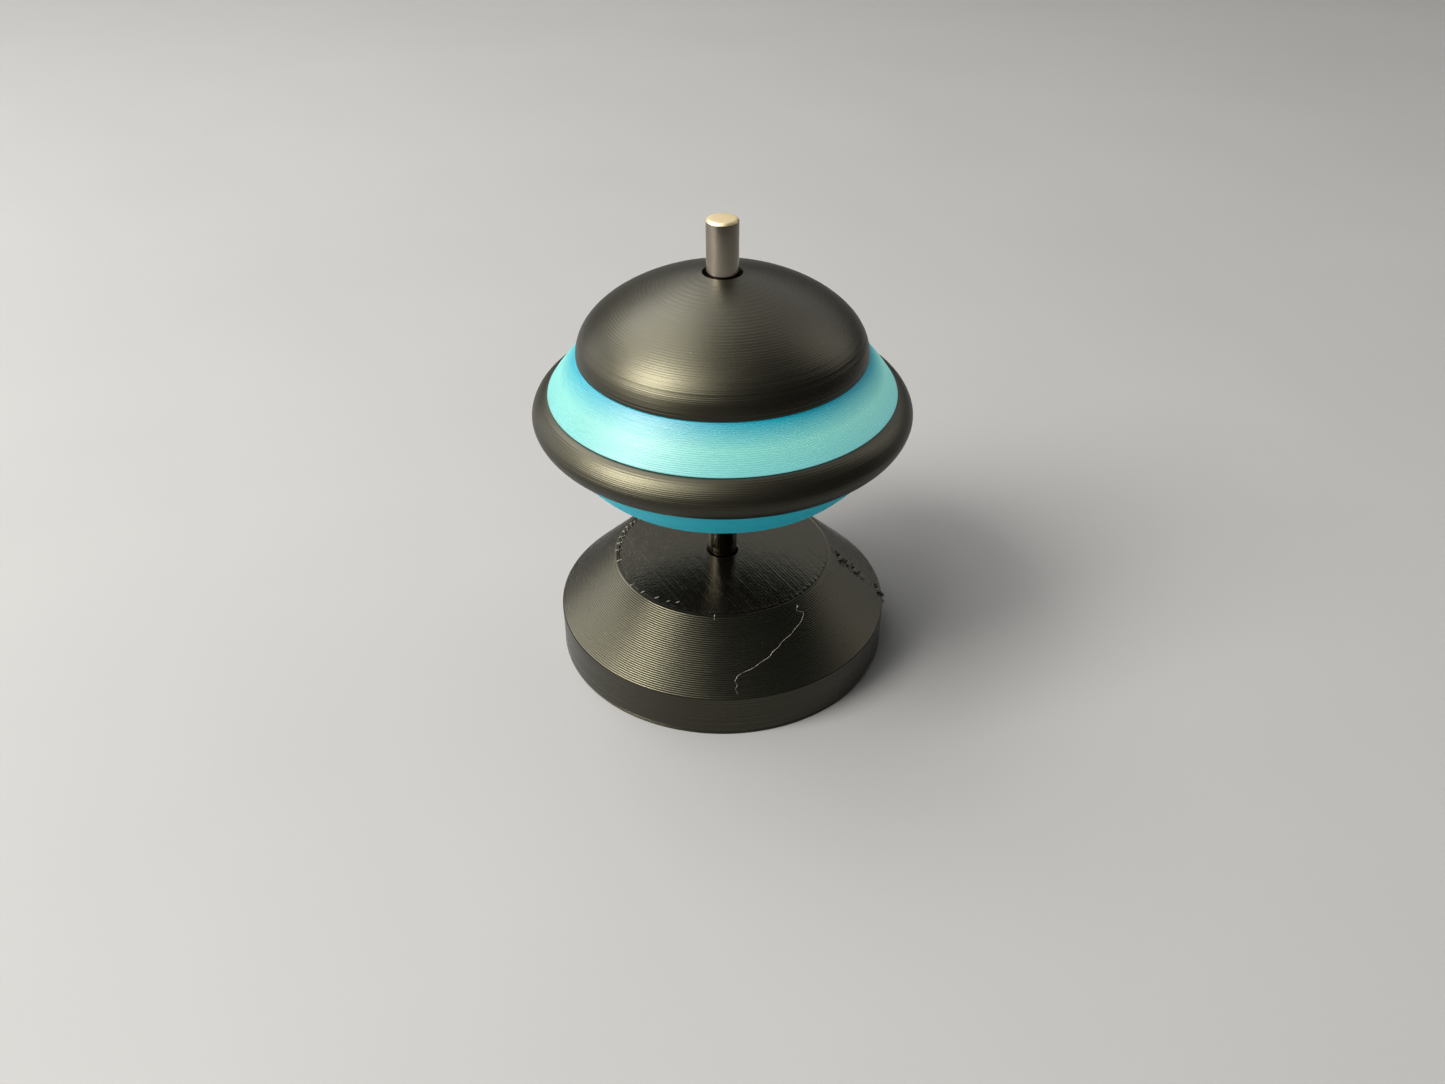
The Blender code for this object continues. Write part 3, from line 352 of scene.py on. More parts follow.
def strand(name, path, thickness):
    """A thin thread of plastic along a path of places, thinner toward both ends, with a blob at its start."""
    bm = bmesh.new()
    rings = []
    for i, spot in enumerate(path):
        ahead = (path[min(i + 1, len(path) - 1)] - path[max(i - 1, 0)]).normalized()
        out = Vector((spot.x, spot.y, 0)).normalized()
        side = ahead.cross(out).normalized()
        up = side.cross(ahead)
        share = i / (len(path) - 1)
        wide = thickness * (0.35 + 0.65 * math.sin(math.pi * min(1.0, share * 1.1)) ** 0.5)
        wide += thickness * 2.6 * math.exp(-(((share - 0.02) / 0.014) ** 2))
        if i in (0, len(path) - 1):
            wide = thickness * 0.1
        ring = []
        for k in range(STRAND_SIDES):
            turn = math.tau * k / STRAND_SIDES
            ring.append(bm.verts.new(spot + side * wide * math.cos(turn) + up * wide * math.sin(turn)))
        rings.append(ring)
    for ring, following in zip(rings, rings[1:]):
        for k in range(STRAND_SIDES):
            after = (k + 1) % STRAND_SIDES
            bm.faces.new((ring[k], ring[after], following[after], following[k]))
    bm.faces.new(rings[0])
    bm.faces.new(rings[-1])
    return finished(bm, name)


# ---- Stand ----


def stand_outside(height):
    """The stand's radius: an upright wall with a cone on it, and first layers that are squashed out."""
    low, high = STAND_BOX
    if height < 2 * LAYER:
        return high.x + FOOT_SPREAD * (1 - height / (2 * LAYER))
    share = max(0.0, height - STAND_WALL_TOP) / (high.z - STAND_WALL_TOP)
    return high.x + (STAND_TOP_RADIUS - high.x) * share


def stand(black, glossy, pale):
    """The stand's shell, and the lines and humps that lie in its top face."""
    low, high = STAND_BOX
    top = high.z
    layers = round(top / LAYER)
    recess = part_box("base_cover")[1].x + PRINT_FIT
    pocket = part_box("bearing_outer_race")[1].x + PRINT_FIT
    pocket_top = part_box("bearing_outer_race")[1].z + PRINT_FIT
    recess_top = low.z + STAND_RECESS_DEPTH
    hole_rings = STAND_HOLE_RADIUS + HOLE_BREAK + LINE
    edge_rings = STAND_TOP_RADIUS - EDGE_BREAK - LINE
    bed = top - TOP_BED
    section = [
        *plain([(STAND_HOLE_RADIUS, top - HOLE_BREAK)]),
        *printed_rings(STAND_HOLE_RADIUS + HOLE_BREAK, hole_rings, top, 0.05 * MM),
        *plain([(hole_rings, bed), (edge_rings, bed)]),
        *printed_rings(edge_rings, STAND_TOP_RADIUS - EDGE_BREAK, top, 0.04 * MM),
        *printed_side(stand_outside, STAND_WALL_TOP, top, 0.085 * MM, 0.45, round(STAND_WALL_TOP / LAYER)),
        *printed_side(stand_outside, 0.0, STAND_WALL_TOP, 0.014 * MM, 1.0),
        *plain([(recess, 0.0), (recess, recess_top), (pocket, recess_top), (pocket, pocket_top)]),
        *plain([(STAND_HOLE_RADIUS, pocket_top)]),
    ]
    pits = []
    for height, depth in SEAM_PITS:
        middle = round(height * MM / LAYER)
        pits.append((middle - 2, middle + 2, depth * MM))
    swell = layer_swell(5, layers, 0.004 * MM, SEAM_ANGLE, 0.24 * MM, pits)
    angles = even_angles(STAND_STEPS, SEAM_ANGLE)
    shell = turned("stand_print", section, angles, swell)
    link("stand_print", shell, black, "stand", "black_print", "base_shell")
    inner, outer = hole_rings - 0.08 * MM, edge_rings - 0.01 * MM
    lines = straight_lines("stand_top_lines", inner, outer, top, LINE_HEADING, 11)
    link("stand_top_lines", lines, glossy, "stand", "black_print")
    # Painted highlight: the humps take the pale thread's finish, so their paleness stands in for the glints
    # on their crests.
    link("stand_top_beads", turn_beads("stand_top_beads", top, LINE_HEADING), pale, "stand", "black_print")


def stray_plastic(pale):
    """A thread that hangs down the stand's cone, curled at its upper end, and a blob over the top's edge."""
    top = STAND_BOX[1].z
    path = []
    for i in range(STRAND_STEPS + 1):
        share = 0.05 + 0.88 * i / STRAND_STEPS
        height = top - (top - STAND_WALL_TOP) * share
        sweep = min(1.0, max(0.0, (share - STRAND_SWEEP[0]) / (STRAND_SWEEP[1] - STRAND_SWEEP[0])))
        curl = 1.6 * math.sin(34 * (share - 0.05)) * math.exp(-(((share - 0.14) / 0.08) ** 2))
        wander = 1.1 * math.sin(math.pi * sweep) * math.sin(19 * share) + 0.35 * math.sin(67 * share)
        turn = STRAND_START + (STRAND_END - STRAND_START) * sweep
        angle = math.radians(turn - curl - wander - 1.0 * share)
        reach = stand_outside(height) + 0.04 * MM + 0.03 * MM * math.sin(31 * share)
        path.append(Vector((reach * math.cos(angle), reach * math.sin(angle), height)))
    link("stray_strand", strand("stray_strand", path, STRAND_RADIUS), pale, "stand", "black_print")

    angle = math.radians(EDGE_BLOB_ANGLE)
    out = Vector((math.cos(angle), math.sin(angle), 0))
    path = []
    for i in range(9):
        reach = STAND_TOP_RADIUS + (0.1 * i - 0.55) * MM
        height = top + (0.02 - 0.006 * i**2) * MM
        path.append(out * reach + Vector((0, 0, height)))
    link("edge_blob", strand("edge_blob", path, EDGE_BLOB_RADIUS), pale, "stand", "black_print")


# ---- Saucer ----


def cap(black):
    low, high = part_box("upper_cap")
    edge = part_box("upper_light_band")[1].z + 0.1 * MM
    radius = high.x
    rise = (high.z - edge) / (1 - (CAP_HOLE_RADIUS / radius) ** DOME_SHOULDER) ** (1 / DOME_EDGE)

    def dome(height, edge_radius=radius, dome_rise=rise):
        share = 1 - (max(0.0, height - edge) / dome_rise) ** DOME_EDGE
        return edge_radius * max(0.0, share) ** (1 / DOME_SHOULDER)

    layers = round((high.z - edge) / LAYER)
    inner_radius, inner_rise = radius - CAP_WALL, rise - CAP_WALL
    inside = []
    for i in range(13):
        height = edge + (high.z - CAP_WALL - edge) * math.sin(math.pi / 2 * i / 12)
        reach = min(CAP_SPIGOT_INNER, dome(height, inner_radius, inner_rise))
        inside.append((max(CAP_HOLE_RADIUS, reach), height))
    section = [
        *plain([(CAP_HOLE_RADIUS, high.z - 0.12 * MM)]),
        *printed_side(dome, edge, high.z, 0.007 * MM, 0.05),
        *plain([(CAP_SPIGOT_RADIUS, edge), (CAP_SPIGOT_RADIUS, low.z), (CAP_SPIGOT_INNER, low.z)]),
        *plain(inside),
        *plain([(CAP_HOLE_RADIUS, inside[-1][1])]),
    ]
    swell = layer_swell(21, layers, 0.0025 * MM, SAUCER_SEAM_ANGLE, 0.05 * MM)
    angles = even_angles(SAUCER_STEPS, SAUCER_SEAM_ANGLE)
    link("cap_print", turned("cap_print", section, angles, swell), black, "top", "black_print", "upper_cap")


def band_radius(share, narrow, wide):
    """The band's outside from its narrow end, share 0, to its wide end, share 1."""
    return narrow + (wide - narrow) * share + BAND_BULGE * 4 * share * (1 - share)


def light_band(name, node, up, cyan, seed):
    """One cyan band. up is True for the one above the rim, whose narrow end is on top."""
    low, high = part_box(node)
    height = high.z - low.z
    narrow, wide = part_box("upper_cap")[1].x, high.x

    def outside(z):
        share = (high.z - z) / height if up else (z - low.z) / height
        return band_radius(share, narrow, wide)

    inner_top, inner_bottom = outside(high.z) - BAND_WALL, outside(low.z) - BAND_WALL
    if not up:
        inner_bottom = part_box("bottom_cover")[1].x + PRINT_FIT
    section = [
        *printed_side(outside, low.z, high.z, 0.016 * MM, 0.2),
        *plain([(inner_bottom, low.z), (inner_top, high.z)]),
    ]
    layers = round(height / LAYER)
    swell = layer_swell(seed, layers, 0.002 * MM, SAUCER_SEAM_ANGLE, 0.04 * MM)
    angles = even_angles(SAUCER_STEPS, SAUCER_SEAM_ANGLE)
    link(name, turned(name, section, angles, swell), cyan, "top", "cyan_print", node)


def rim(black):
    low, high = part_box("rim_ring")
    middle, half = (low.z + high.z) / 2, (high.z - low.z) / 2
    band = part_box("upper_light_band")[1].x

    def lip(z):
        turn = math.asin(min(1.0, abs(z - middle) / half) ** (1 / RIM_POWER))
        return band + (high.x - band) * math.cos(turn) ** RIM_POWER

    layers = round((high.z - low.z) / LAYER)
    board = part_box("circuit_board")[0].z - PRINT_FIT
    section = [
        *printed_side(lip, low.z, high.z, 0.014 * MM, 0.10),
        *plain([(RIM_INNER_RADIUS, low.z), (RIM_INNER_RADIUS, board - 2 * RIM_LEDGE)]),
        *plain([(RIM_LEDGE_RADIUS, board - RIM_LEDGE), (RIM_LEDGE_RADIUS, board), (RIM_INNER_RADIUS, board)]),
        *plain([(RIM_INNER_RADIUS, high.z)]),
    ]
    swell = layer_swell(33, layers, 0.0025 * MM, SAUCER_SEAM_ANGLE, 0.05 * MM)
    angles = even_angles(SAUCER_STEPS, SAUCER_SEAM_ANGLE)
    link("rim_print", turned("rim_print", section, angles, swell), black, "top", "black_print", "rim_ring")


# ---- Rod ----


def rod(steel):
    low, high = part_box("shaft")
    radius, chamfer, corner = high.x, ROD_CHAMFER, 0.05 * MM
    tip = [(radius * s, low.z + 0.35 * MM * s**2) for s in (0.0, 0.25, 0.5, 0.75, 0.93)]
    section = [
        *tip,
        (radius, low.z + 0.5 * MM),
        (radius, high.z - chamfer - corner),
        (radius - corner * 0.3, high.z - chamfer),
        (radius - chamfer + corner, high.z - corner),
        (radius - chamfer, high.z - corner * 0.3),
        (radius - chamfer - corner * 1.5, high.z),
        (radius * 0.4, high.z),
        (0.0, high.z),
    ]
    mesh = turned("rod", plain(section), even_angles(ROD_STEPS), crease=40)
    link("rod", mesh, steel, "top", "bright_steel", "shaft")


# ---- Materials ----


class Finish:
    """A material being made: its Principled shader, and short ways to add the nodes that feed it."""

    def __init__(self, name, colour, roughness, **numbers):
        self.material = bpy.data.materials.new(name)
        self.material.use_nodes = True
        self.tree = self.material.node_tree
        self.shader = self.tree.nodes["Principled BSDF"]
        self.place = self.tree.nodes.new("ShaderNodeTexCoord").outputs["Object"]
        self.put("Base Color", (*colour, 1.0))
        self.put("Roughness", roughness)
        for socket, value in numbers.items():
            self.put(socket.replace("_", " "), value)

    def put(self, socket, value):
        """Sets a socket of the shader to a value, or links an output to it."""
        self.feed(self.shader.inputs[socket], value)

    def feed(self, socket, value):
        if isinstance(value, bpy.types.NodeSocket):
            self.tree.links.new(value, socket)
        else:
            socket.default_value = value

    def node(self, kind, output=0, inputs=(), **settings):
        """Adds a node and returns one of its outputs. inputs is a list of (socket, value)."""
        made = self.tree.nodes.new("ShaderNode" + kind)
        for key, value in settings.items():
            setattr(made, key, value)
        for socket, value in inputs:
            self.feed(made.inputs[socket], value)
        return made.outputs[output]

    def stretched(self, scale, turn=(0.0, 0.0, 0.0)):
        """The place on the object, turned and then scaled by its own amount along each axis."""
        return self.node("Mapping", inputs=[("Vector", self.place), ("Rotation", turn), ("Scale", scale)])

    def noise(self, size, detail=3.0, roughness=0.55, place=None):
        """Cloudy noise from 0 to 1, with blobs of about the size given."""
        inputs = [("Vector", place or self.place), ("Scale", 1 / size)]
        inputs += [("Detail", detail), ("Roughness", roughness)]
        return self.node("TexNoise", inputs=inputs)

    def ramp(self, value, low, high, to_low=0.0, to_high=1.0):
        """Maps a value from one range to another, clamped."""
        inputs = [(0, value), (1, low), (2, high), (3, to_low), (4, to_high)]
        return self.node("MapRange", inputs=inputs, clamp=True)

    def math(self, operation, a, b=0.0, c=0.0):
        return self.node("Math", inputs=[(0, a), (1, b), (2, c)], operation=operation)

    def mix(self, share, first, second):
        """A colour between two, each a tuple or an output."""
        made = self.tree.nodes.new("ShaderNodeMix")
        made.data_type = "RGBA"
        for socket, value in ((0, share), (6, first), (7, second)):
            if isinstance(value, tuple):
                value = (*value, 1.0)
            self.feed(made.inputs[socket], value)
        return made.outputs[2]

    def bump(self, height, distance, normal=None):
        inputs = [("Height", height), ("Distance", distance), ("Strength", 1.0)]
        if normal:
            inputs.append(("Normal", normal))
        return self.node("Bump", inputs=inputs)

    def specks(self, size, share):
        """1 on sparse round specks of the size given, on about that share of the cells."""
        cells = [("Vector", self.place), ("Scale", 1 / (size * 4))]
        near = self.node("TexVoronoi", output="Distance", inputs=cells)
        colour = self.node("TexVoronoi", output="Color", inputs=cells)
        lucky = self.math("LESS_THAN", self.node("SeparateColor", inputs=[(0, colour)]), share)
        return self.math("MULTIPLY", self.ramp(near, 0.10, 0.16, 1.0, 0.0), lucky)


def black_print(name, rough=(0.25, 0.28), ior=1.42, grain=(0.09 * MM, 0.004 * MM), lines=None):
    """Satin black printed plastic with faint streaks along its layers and a few specks of dust. grain is the
    size and depth of its fine unevenness. lines adds the fine lines of a printed face, as their heading."""
    made = Finish(name, (0.002, 0.0019, 0.0016), 0.36, IOR=ior, Specular_Tint=(1.0, 0.94, 0.64, 1.0))
    streak = made.noise(1.2 * MM, 4.0, 0.6, made.stretched((0.25, 0.25, 6.0)))
    cloud = made.noise(6 * MM, 2.0)
    tone = made.mix(streak, (0.0012, 0.0012, 0.0010), (0.0024, 0.0023, 0.0019))
    dust = made.specks(0.10 * MM, 0.008)
    made.put("Base Color", made.mix(dust, tone, (0.07, 0.067, 0.056)))
    rough = made.math("ADD", made.ramp(cloud, 0.3, 0.7, -0.01, 0.02), made.ramp(streak, 0.3, 0.7, *rough))
    made.put("Roughness", rough)
    grain_size, grain_depth = grain
    normal = made.bump(made.noise(grain_size, 2.0), grain_depth)
    if lines is not None:
        place = made.stretched((1.0, 1.0, 1.0), (0.0, 0.0, -lines))
        wave = made.node(
            "TexWave", output="Fac", wave_type="BANDS", bands_direction="Y", wave_profile="SIN",
            inputs=[
                ("Vector", place), ("Scale", math.tau / 20 / LINE),
                ("Distortion", 0.4), ("Detail Scale", 60.0),
            ],
        )
        normal = made.bump(wave, 0.03 * MM, normal)
    made.put("Normal", normal)
    return made.material


def thread():
    """A hair of drawn-out plastic that has gone pale."""
    made = Finish("black_print_thread", (0.10, 0.095, 0.08), 0.3, IOR=1.5)
    pale = made.noise(0.8 * MM, 3.0)
    made.put("Base Color", made.mix(made.ramp(pale, 0.35, 0.65), (0.03, 0.028, 0.022), (0.15, 0.14, 0.115)))
    made.put("Roughness", made.ramp(pale, 0.3, 0.7, 0.25, 0.45))
    made.put("Normal", made.bump(made.noise(0.06 * MM), 0.004 * MM))
    return made.material


def cyan_print():
    """Silky, translucent cyan plastic whose layers differ a little in depth of colour. The upper band has
    painted shade where it is narrow, next to the cap, and a paler painted sheen below. The lower band's
    colour is lighter, painted light from below. Its emission is painted light, a third to three quarters of
    its brightness in this light, and the base colours are darker than the plastic's own to leave room for it."""
    made = Finish("cyan_print", (0.02, 0.45, 0.58), 0.45, IOR=1.5, Specular_IOR_Level=0.3)
    layers = made.noise(0.9 * MM, 3.0, 0.6, made.stretched((0.08, 0.08, 4.0)))
    cloud = made.noise(7 * MM, 2.0)
    low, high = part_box("upper_light_band")
    height = made.node("SeparateXYZ", output="Z", inputs=[(0, made.place)])
    lit = made.ramp(height, (low.z + high.z) / 2, high.z - 0.1 * MM, 1.0, 0.0)
    wide = made.ramp(height, low.z, (low.z + high.z) / 2, 1.0, 0.0)
    above = made.math("GREATER_THAN", height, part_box("rim_ring")[0].z + 1 * MM)
    # Painted shade and sheen: the darker, more saturated colour at the upper band's narrow end stands for the
    # cap's shade, and the paler colour below it is painted sheen.
    deep_cap_shade = made.mix(layers, (0.002, 0.070, 0.095), (0.004, 0.090, 0.115))
    pale = made.mix(cloud, (0.024, 0.086, 0.078), (0.034, 0.102, 0.092))
    # Painted light: the lower band's colour is lighter, standing in for light from below.
    under = made.mix(layers, (0.006, 0.20, 0.26), (0.012, 0.24, 0.30))
    made.put("Base Color", made.mix(above, under, made.mix(lit, deep_cap_shade, pale)))
    # Painted light: the emission stands in for light on the bands, weakest in the cap's shade at the upper
    # band's narrow end.
    painted_glow = made.mix(lit, (0.0, 0.12, 0.16), made.mix(wide, (0.14, 0.37, 0.33), (0.11, 0.33, 0.34)))
    made.put("Emission Color", made.mix(above, (0.002, 0.085, 0.11), painted_glow))
    made.put("Emission Strength", 1.0)
    made.put("Roughness", made.ramp(layers, 0.3, 0.7, 0.40, 0.50))
    made.put("Subsurface Weight", 0.5)
    made.put("Subsurface Radius", (0.6, 1.0, 1.0))
    made.put("Subsurface Scale", 3 * MM)
    made.put("Normal", made.bump(made.noise(0.12 * MM, 2.0), 0.003 * MM))
    return made.material


def white_print():
    """Matt white printed plastic with its layers as fine lines round it."""
    made = Finish("white_print", (0.72, 0.72, 0.70), 0.5)
    height = made.node("SeparateXYZ", output="Z", inputs=[(0, made.place)])
    layer = made.math("PINGPONG", height, LAYER / 2)
    cloud = made.noise(2.5 * MM, 3.0)
    made.put("Base Color", made.mix(cloud, (0.66, 0.66, 0.63), (0.78, 0.78, 0.76)))
    made.put("Roughness", made.ramp(cloud, 0.3, 0.7, 0.44, 0.58))
    uneven = made.bump(cloud, 0.01 * MM)
    made.put("Normal", made.bump(made.math("MULTIPLY", layer, 2 / LAYER), 0.03 * MM, uneven))
    return made.material


def ground_steel():
    """Bright drawn rod: fine streaks along its length, faint smears, tiny nicks, and a rougher sawn end."""
    made = Finish("bright_steel", (0.50, 0.45, 0.38), 0.22, Metallic=1.0)
    streak = made.noise(0.16 * MM, 4.0, 0.7, made.stretched((1.0, 1.0, 0.03)))
    smear = made.noise(1.6 * MM, 3.0, 0.6, made.stretched((1.0, 1.0, 0.4)))
    height = made.node("SeparateXYZ", output="Z", inputs=[(0, made.place)])
    sawn = made.math("GREATER_THAN", height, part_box("shaft")[1].z - ROD_CHAMFER - 0.02 * MM)
    side = made.mix(streak, (0.165, 0.145, 0.115), (0.29, 0.26, 0.21))
    made.put("Base Color", made.mix(sawn, side, (0.36, 0.30, 0.18)))
    rough = made.math("ADD", made.ramp(streak, 0.3, 0.7, 0.12, 0.20), made.ramp(smear, 0.45, 0.75, 0.0, 0.08))
    made.put("Roughness", made.math("MAXIMUM", rough, made.math("MULTIPLY", sawn, 0.55)))
    normal = made.bump(streak, 0.006 * MM)
    made.put("Normal", made.bump(made.specks(0.07 * MM, 0.02), -0.01 * MM, normal))
    return made.material


def polished_steel(name, colour, roughness, grain):
    """Machined steel with turning marks round its axis and smudges."""
    made = Finish(name, colour, roughness, Metallic=1.0)
    ring = made.noise(grain, 3.0, 0.6, made.stretched((0.15, 0.15, 3.0)))
    smudge = made.noise(1.4 * MM, 3.0)
    darker = tuple(c * 0.82 for c in colour)
    made.put("Base Color", made.mix(made.ramp(smudge, 0.35, 0.75), colour, darker))
    smudged = made.ramp(smudge, 0.4, 0.8, roughness, roughness + 0.12)
    made.put("Roughness", made.math("ADD", made.ramp(ring, 0.3, 0.7, -0.04, 0.06), smudged))
    made.put("Normal", made.bump(ring, 0.002 * MM))
    return made.material


def nickel_strip():
    """Thin nickel-plated strip, rolled lengthways, with weld dimples."""
    made = Finish("nickel_strip", (0.75, 0.70, 0.58), 0.3, Metallic=1.0)
    rolled = made.noise(0.3 * MM, 4.0, 0.7, made.stretched((0.2, 2.0, 1.0)))
    tarnish = made.noise(1.8 * MM, 3.0)
    made.put("Base Color", made.mix(made.ramp(tarnish, 0.4, 0.75), (0.76, 0.71, 0.60), (0.58, 0.50, 0.36)))
    made.put("Roughness", made.ramp(rolled, 0.3, 0.7, 0.22, 0.40))
    dimple = made.specks(0.35 * MM, 0.25)
    made.put("Normal", made.bump(dimple, -0.05 * MM, made.bump(rolled, 0.003 * MM)))
    return made.material


def foot_rubber():
    """Matt black rubber, finely pitted and a little dusty."""
    made = Finish("foot_rubber", (0.03, 0.03, 0.03), 0.85)
    pits = made.noise(0.18 * MM, 4.0, 0.7)
    dust = made.noise(3 * MM, 3.0)
    made.put("Base Color", made.mix(made.ramp(dust, 0.45, 0.8), (0.022, 0.022, 0.021), (0.075, 0.072, 0.066)))
    made.put("Roughness", made.ramp(pits, 0.3, 0.7, 0.74, 0.92))
    made.put("Normal", made.bump(pits, 0.02 * MM))
    return made.material


def nylon():
    """Natural nylon: waxy, off-white, faintly mottled."""
    made = Finish("nylon", (0.80, 0.78, 0.70), 0.4)
    mottle = made.noise(0.8 * MM, 4.0)
    made.put("Base Color", made.mix(mottle, (0.72, 0.69, 0.59), (0.86, 0.84, 0.77)))
    made.put("Roughness", made.ramp(mottle, 0.3, 0.7, 0.34, 0.5))
    made.put("Subsurface Weight", 0.15)
    made.put("Subsurface Scale", 0.4 * MM)
    made.put("Normal", made.bump(mottle, 0.006 * MM))
    return made.material


def circuit_board():
    """Green solder mask over copper tracks, with a pale cut edge where the glass fibre shows."""
    made = Finish("board", (0.02, 0.16, 0.07), 0.35)
    low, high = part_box("circuit_board")
    track = made.node(
        "TexBrick", output="Fac", offset=0.5, squash=1.0,
        inputs=[
            ("Vector", made.place), ("Scale", 1 / (2.4 * MM)),
            ("Mortar Size", 0.09), ("Mortar Smooth", 0.2),
        ],
    )
    via = made.specks(0.25 * MM, 0.2)
    weave = made.noise(0.15 * MM, 2.0)
    mask = made.mix(track, (0.012, 0.115, 0.045), (0.035, 0.25, 0.10))
    mask = made.mix(via, mask, (0.70, 0.55, 0.24))
    level = made.stretched((1.0, 1.0, 0.0))
    across = made.node("VectorMath", output="Value", inputs=[(0, level)], operation="LENGTH")
    edge = made.math("GREATER_THAN", across, high.x - 0.05 * MM)
    made.put("Base Color", made.mix(edge, mask, (0.55, 0.50, 0.30)))
    made.put("Roughness", made.ramp(weave, 0.3, 0.7, 0.28, 0.42))
    made.put("Normal", made.bump(track, 0.03 * MM, made.bump(weave, 0.004 * MM)))
    return made.material


def led_resin():
    """Clear resin with a pale yellow heart where the phosphor is."""
    made = Finish("led_resin", (0.85, 0.93, 0.93), 0.12, IOR=1.5)
    heart = made.noise(0.8 * MM, 2.0)
    made.put("Base Color", made.mix(made.ramp(heart, 0.45, 0.6), (0.90, 0.93, 0.90), (0.92, 0.86, 0.45)))
    made.put("Roughness", made.ramp(heart, 0.3, 0.7, 0.08, 0.2))
    made.put("Transmission Weight", 0.35)
    made.put("Normal", made.bump(made.noise(0.3 * MM), 0.003 * MM))
    return made.material


def moulded(name, colour, roughness, grain, depth):
    """A small moulded body with an even, fine grain."""
    made = Finish(name, colour, roughness)
    fine = made.noise(grain, 3.0, 0.6)
    lighter = tuple(c * 1.6 + 0.01 for c in colour)
    made.put("Base Color", made.mix(fine, colour, lighter))
    made.put("Roughness", made.ramp(fine, 0.3, 0.7, roughness - 0.08, roughness + 0.08))
    made.put("Normal", made.bump(fine, depth))
    return made.material


def dress_nodes(finishes):
    """Gives every carried-over node the finish of its material slot."""
    for part in frame["record"]["subparts"]:
        slots = frame["nodes"][part["node"]].material_slots
        for slot in slots:
            slot.material = finishes[part["material_slot"]]


# ---- Stage ----


def floor():
    bm = bmesh.new()
    bmesh.ops.create_circle(bm, cap_ends=True, segments=96, radius=FLOOR_RADIUS)
    mesh = finished(bm, "floor")
    made = Finish("floor", (0.12, 0.12, 0.12), 0.75)
    tone = made.noise(90 * MM, 3.0)
    made.put("Base Color", made.mix(tone, (0.112, 0.113, 0.113), (0.129, 0.129, 0.128)))
    mesh.materials.append(made.material)
    obj = bpy.data.objects.new("floor", mesh)
    obj.location.z = -0.02 * MM
    bpy.context.scene.collection.objects.link(obj)


def softbox(name, azimuth, elevation, distance, width, height, power, colour):
    """An area light that faces the object from a direction in degrees, round from +X and up."""
    data = bpy.data.lights.new(name, "AREA")
    data.shape = "RECTANGLE"
    data.size, data.size_y = width * STUDIO_SCALE, height * STUDIO_SCALE
    data.energy, data.color = power * STUDIO_SCALE**2, colour
    obj = bpy.data.objects.new(name, data)
    turn, lift = math.radians(azimuth), math.radians(elevation)
    out = Vector((math.cos(turn) * math.cos(lift), math.sin(turn) * math.cos(lift), math.sin(lift)))
    middle = Vector((0, 0, CAD_BOX[1].z / 2))
    obj.location = middle + out * distance * STUDIO_SCALE
    obj.rotation_mode = "QUATERNION"
    obj.rotation_quaternion = (-out).to_track_quat("-Z", "Y")
    obj.visible_camera = False
    bpy.context.scene.collection.objects.link(obj)


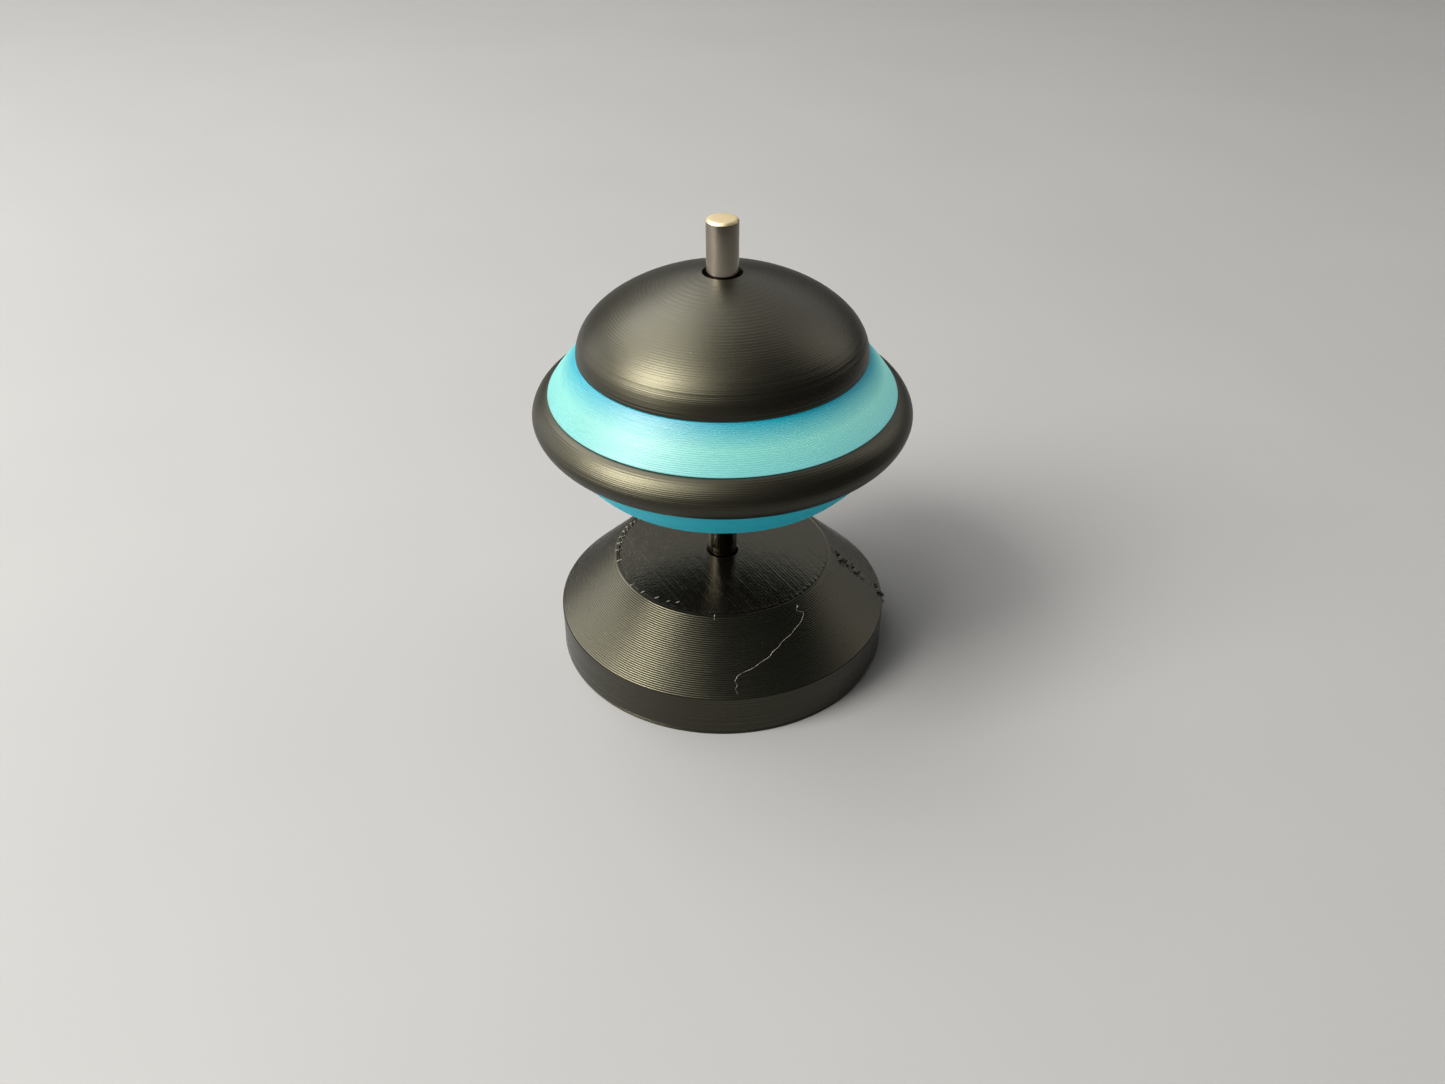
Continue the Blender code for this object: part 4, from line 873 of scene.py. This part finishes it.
def studio():
    softbox("window", 180, 60, 0.60, 1.10, 0.40, 9.6, (1.0, 0.98, 0.95))
    softbox("low_window", 180, 16, 0.60, 1.10, 0.30, 2.6, (1.0, 0.98, 0.95))
    softbox("key", -157, 43, 0.55, 0.25, 0.30, 9.8, (1.0, 0.97, 0.92))
    softbox("low_key", -148, 14, 0.55, 0.32, 0.20, 1.0, (1.0, 0.97, 0.92))
    softbox("back_left", 127, 55, 0.60, 0.45, 0.50, 1.4, (1.0, 0.98, 0.95))
    softbox("back", 75, 44, 0.80, 1.00, 0.75, 2.2, (1.0, 0.98, 0.95))
    softbox("fill", 26, 32, 0.60, 0.26, 0.38, 0.6, (1.0, 0.97, 0.93))
    world = bpy.data.worlds.new("studio")
    bpy.context.scene.world = world
    world.use_nodes = True
    tree = world.node_tree
    light = tree.nodes["Background"]
    light.inputs["Color"].default_value = (0.93, 0.96, 1.0, 1.0)
    light.inputs["Strength"].default_value = 0.035
    seen = tree.nodes.new("ShaderNodeBackground")
    seen.inputs["Color"].default_value = (0.64, 0.63, 0.59, 1.0)
    path = tree.nodes.new("ShaderNodeLightPath")
    pick = tree.nodes.new("ShaderNodeMixShader")
    tree.links.new(path.outputs["Is Camera Ray"], pick.inputs[0])
    tree.links.new(light.outputs[0], pick.inputs[1])
    tree.links.new(seen.outputs[0], pick.inputs[2])
    tree.links.new(pick.outputs[0], tree.nodes["World Output"].inputs[0])
    bpy.context.scene.view_settings.view_transform = "Standard"


def camera():
    data = bpy.data.cameras.new("camera")
    data.lens = 28.75
    data.clip_start = 1 * MM
    obj = bpy.data.objects.new("camera", data)
    obj.location = (0.0, -131.7 * MM, 109.4 * MM)
    obj.rotation_euler = (math.radians(90 - 35.75), 0.0, 0.0)
    bpy.context.scene.collection.objects.link(obj)
    bpy.context.scene.camera = obj


def main():
    camera()
    studio()
    floor()
    finishes = {
        "black_print": black_print("black_print_flat", lines=math.radians(45)),
        "cyan_print": cyan_print(),
        "white_print": white_print(),
        "bright_steel": ground_steel(),
        "bearing_steel": polished_steel("bearing_steel", (0.70, 0.70, 0.70), 0.08, 0.08 * MM),
        "screw_steel": polished_steel("screw_steel", (0.55, 0.55, 0.53), 0.30, 0.12 * MM),
        "nickel_strip": nickel_strip(),
        "cell_can": polished_steel("cell_can", (0.72, 0.72, 0.71), 0.20, 0.10 * MM),
        "foot_rubber": foot_rubber(),
        "nylon": nylon(),
        "board": circuit_board(),
        "led_resin": led_resin(),
        "chip_epoxy": moulded("chip_epoxy", (0.03, 0.03, 0.035), 0.55, 0.08 * MM, 0.01 * MM),
        "resistor_body": moulded("resistor_body", (0.06, 0.06, 0.07), 0.35, 0.15 * MM, 0.004 * MM),
    }
    dress_nodes(finishes)
    layered_black = black_print("black_print_layers", (0.24, 0.27), 1.49)
    glossy_black = black_print("black_print_top", (0.09, 0.14), 1.45, (0.17 * MM, 0.014 * MM))
    pale_thread = thread()
    stand(layered_black, glossy_black, pale_thread)
    stray_plastic(pale_thread)
    satin_black = black_print("black_print_saucer", (0.36, 0.39))
    cap(satin_black)
    light_band("upper_band_print", "upper_light_band", True, finishes["cyan_print"], 41)
    light_band("lower_band_print", "lower_light_band", False, finishes["cyan_print"], 42)
    rim(satin_black)
    rod(finishes["bright_steel"])


main()
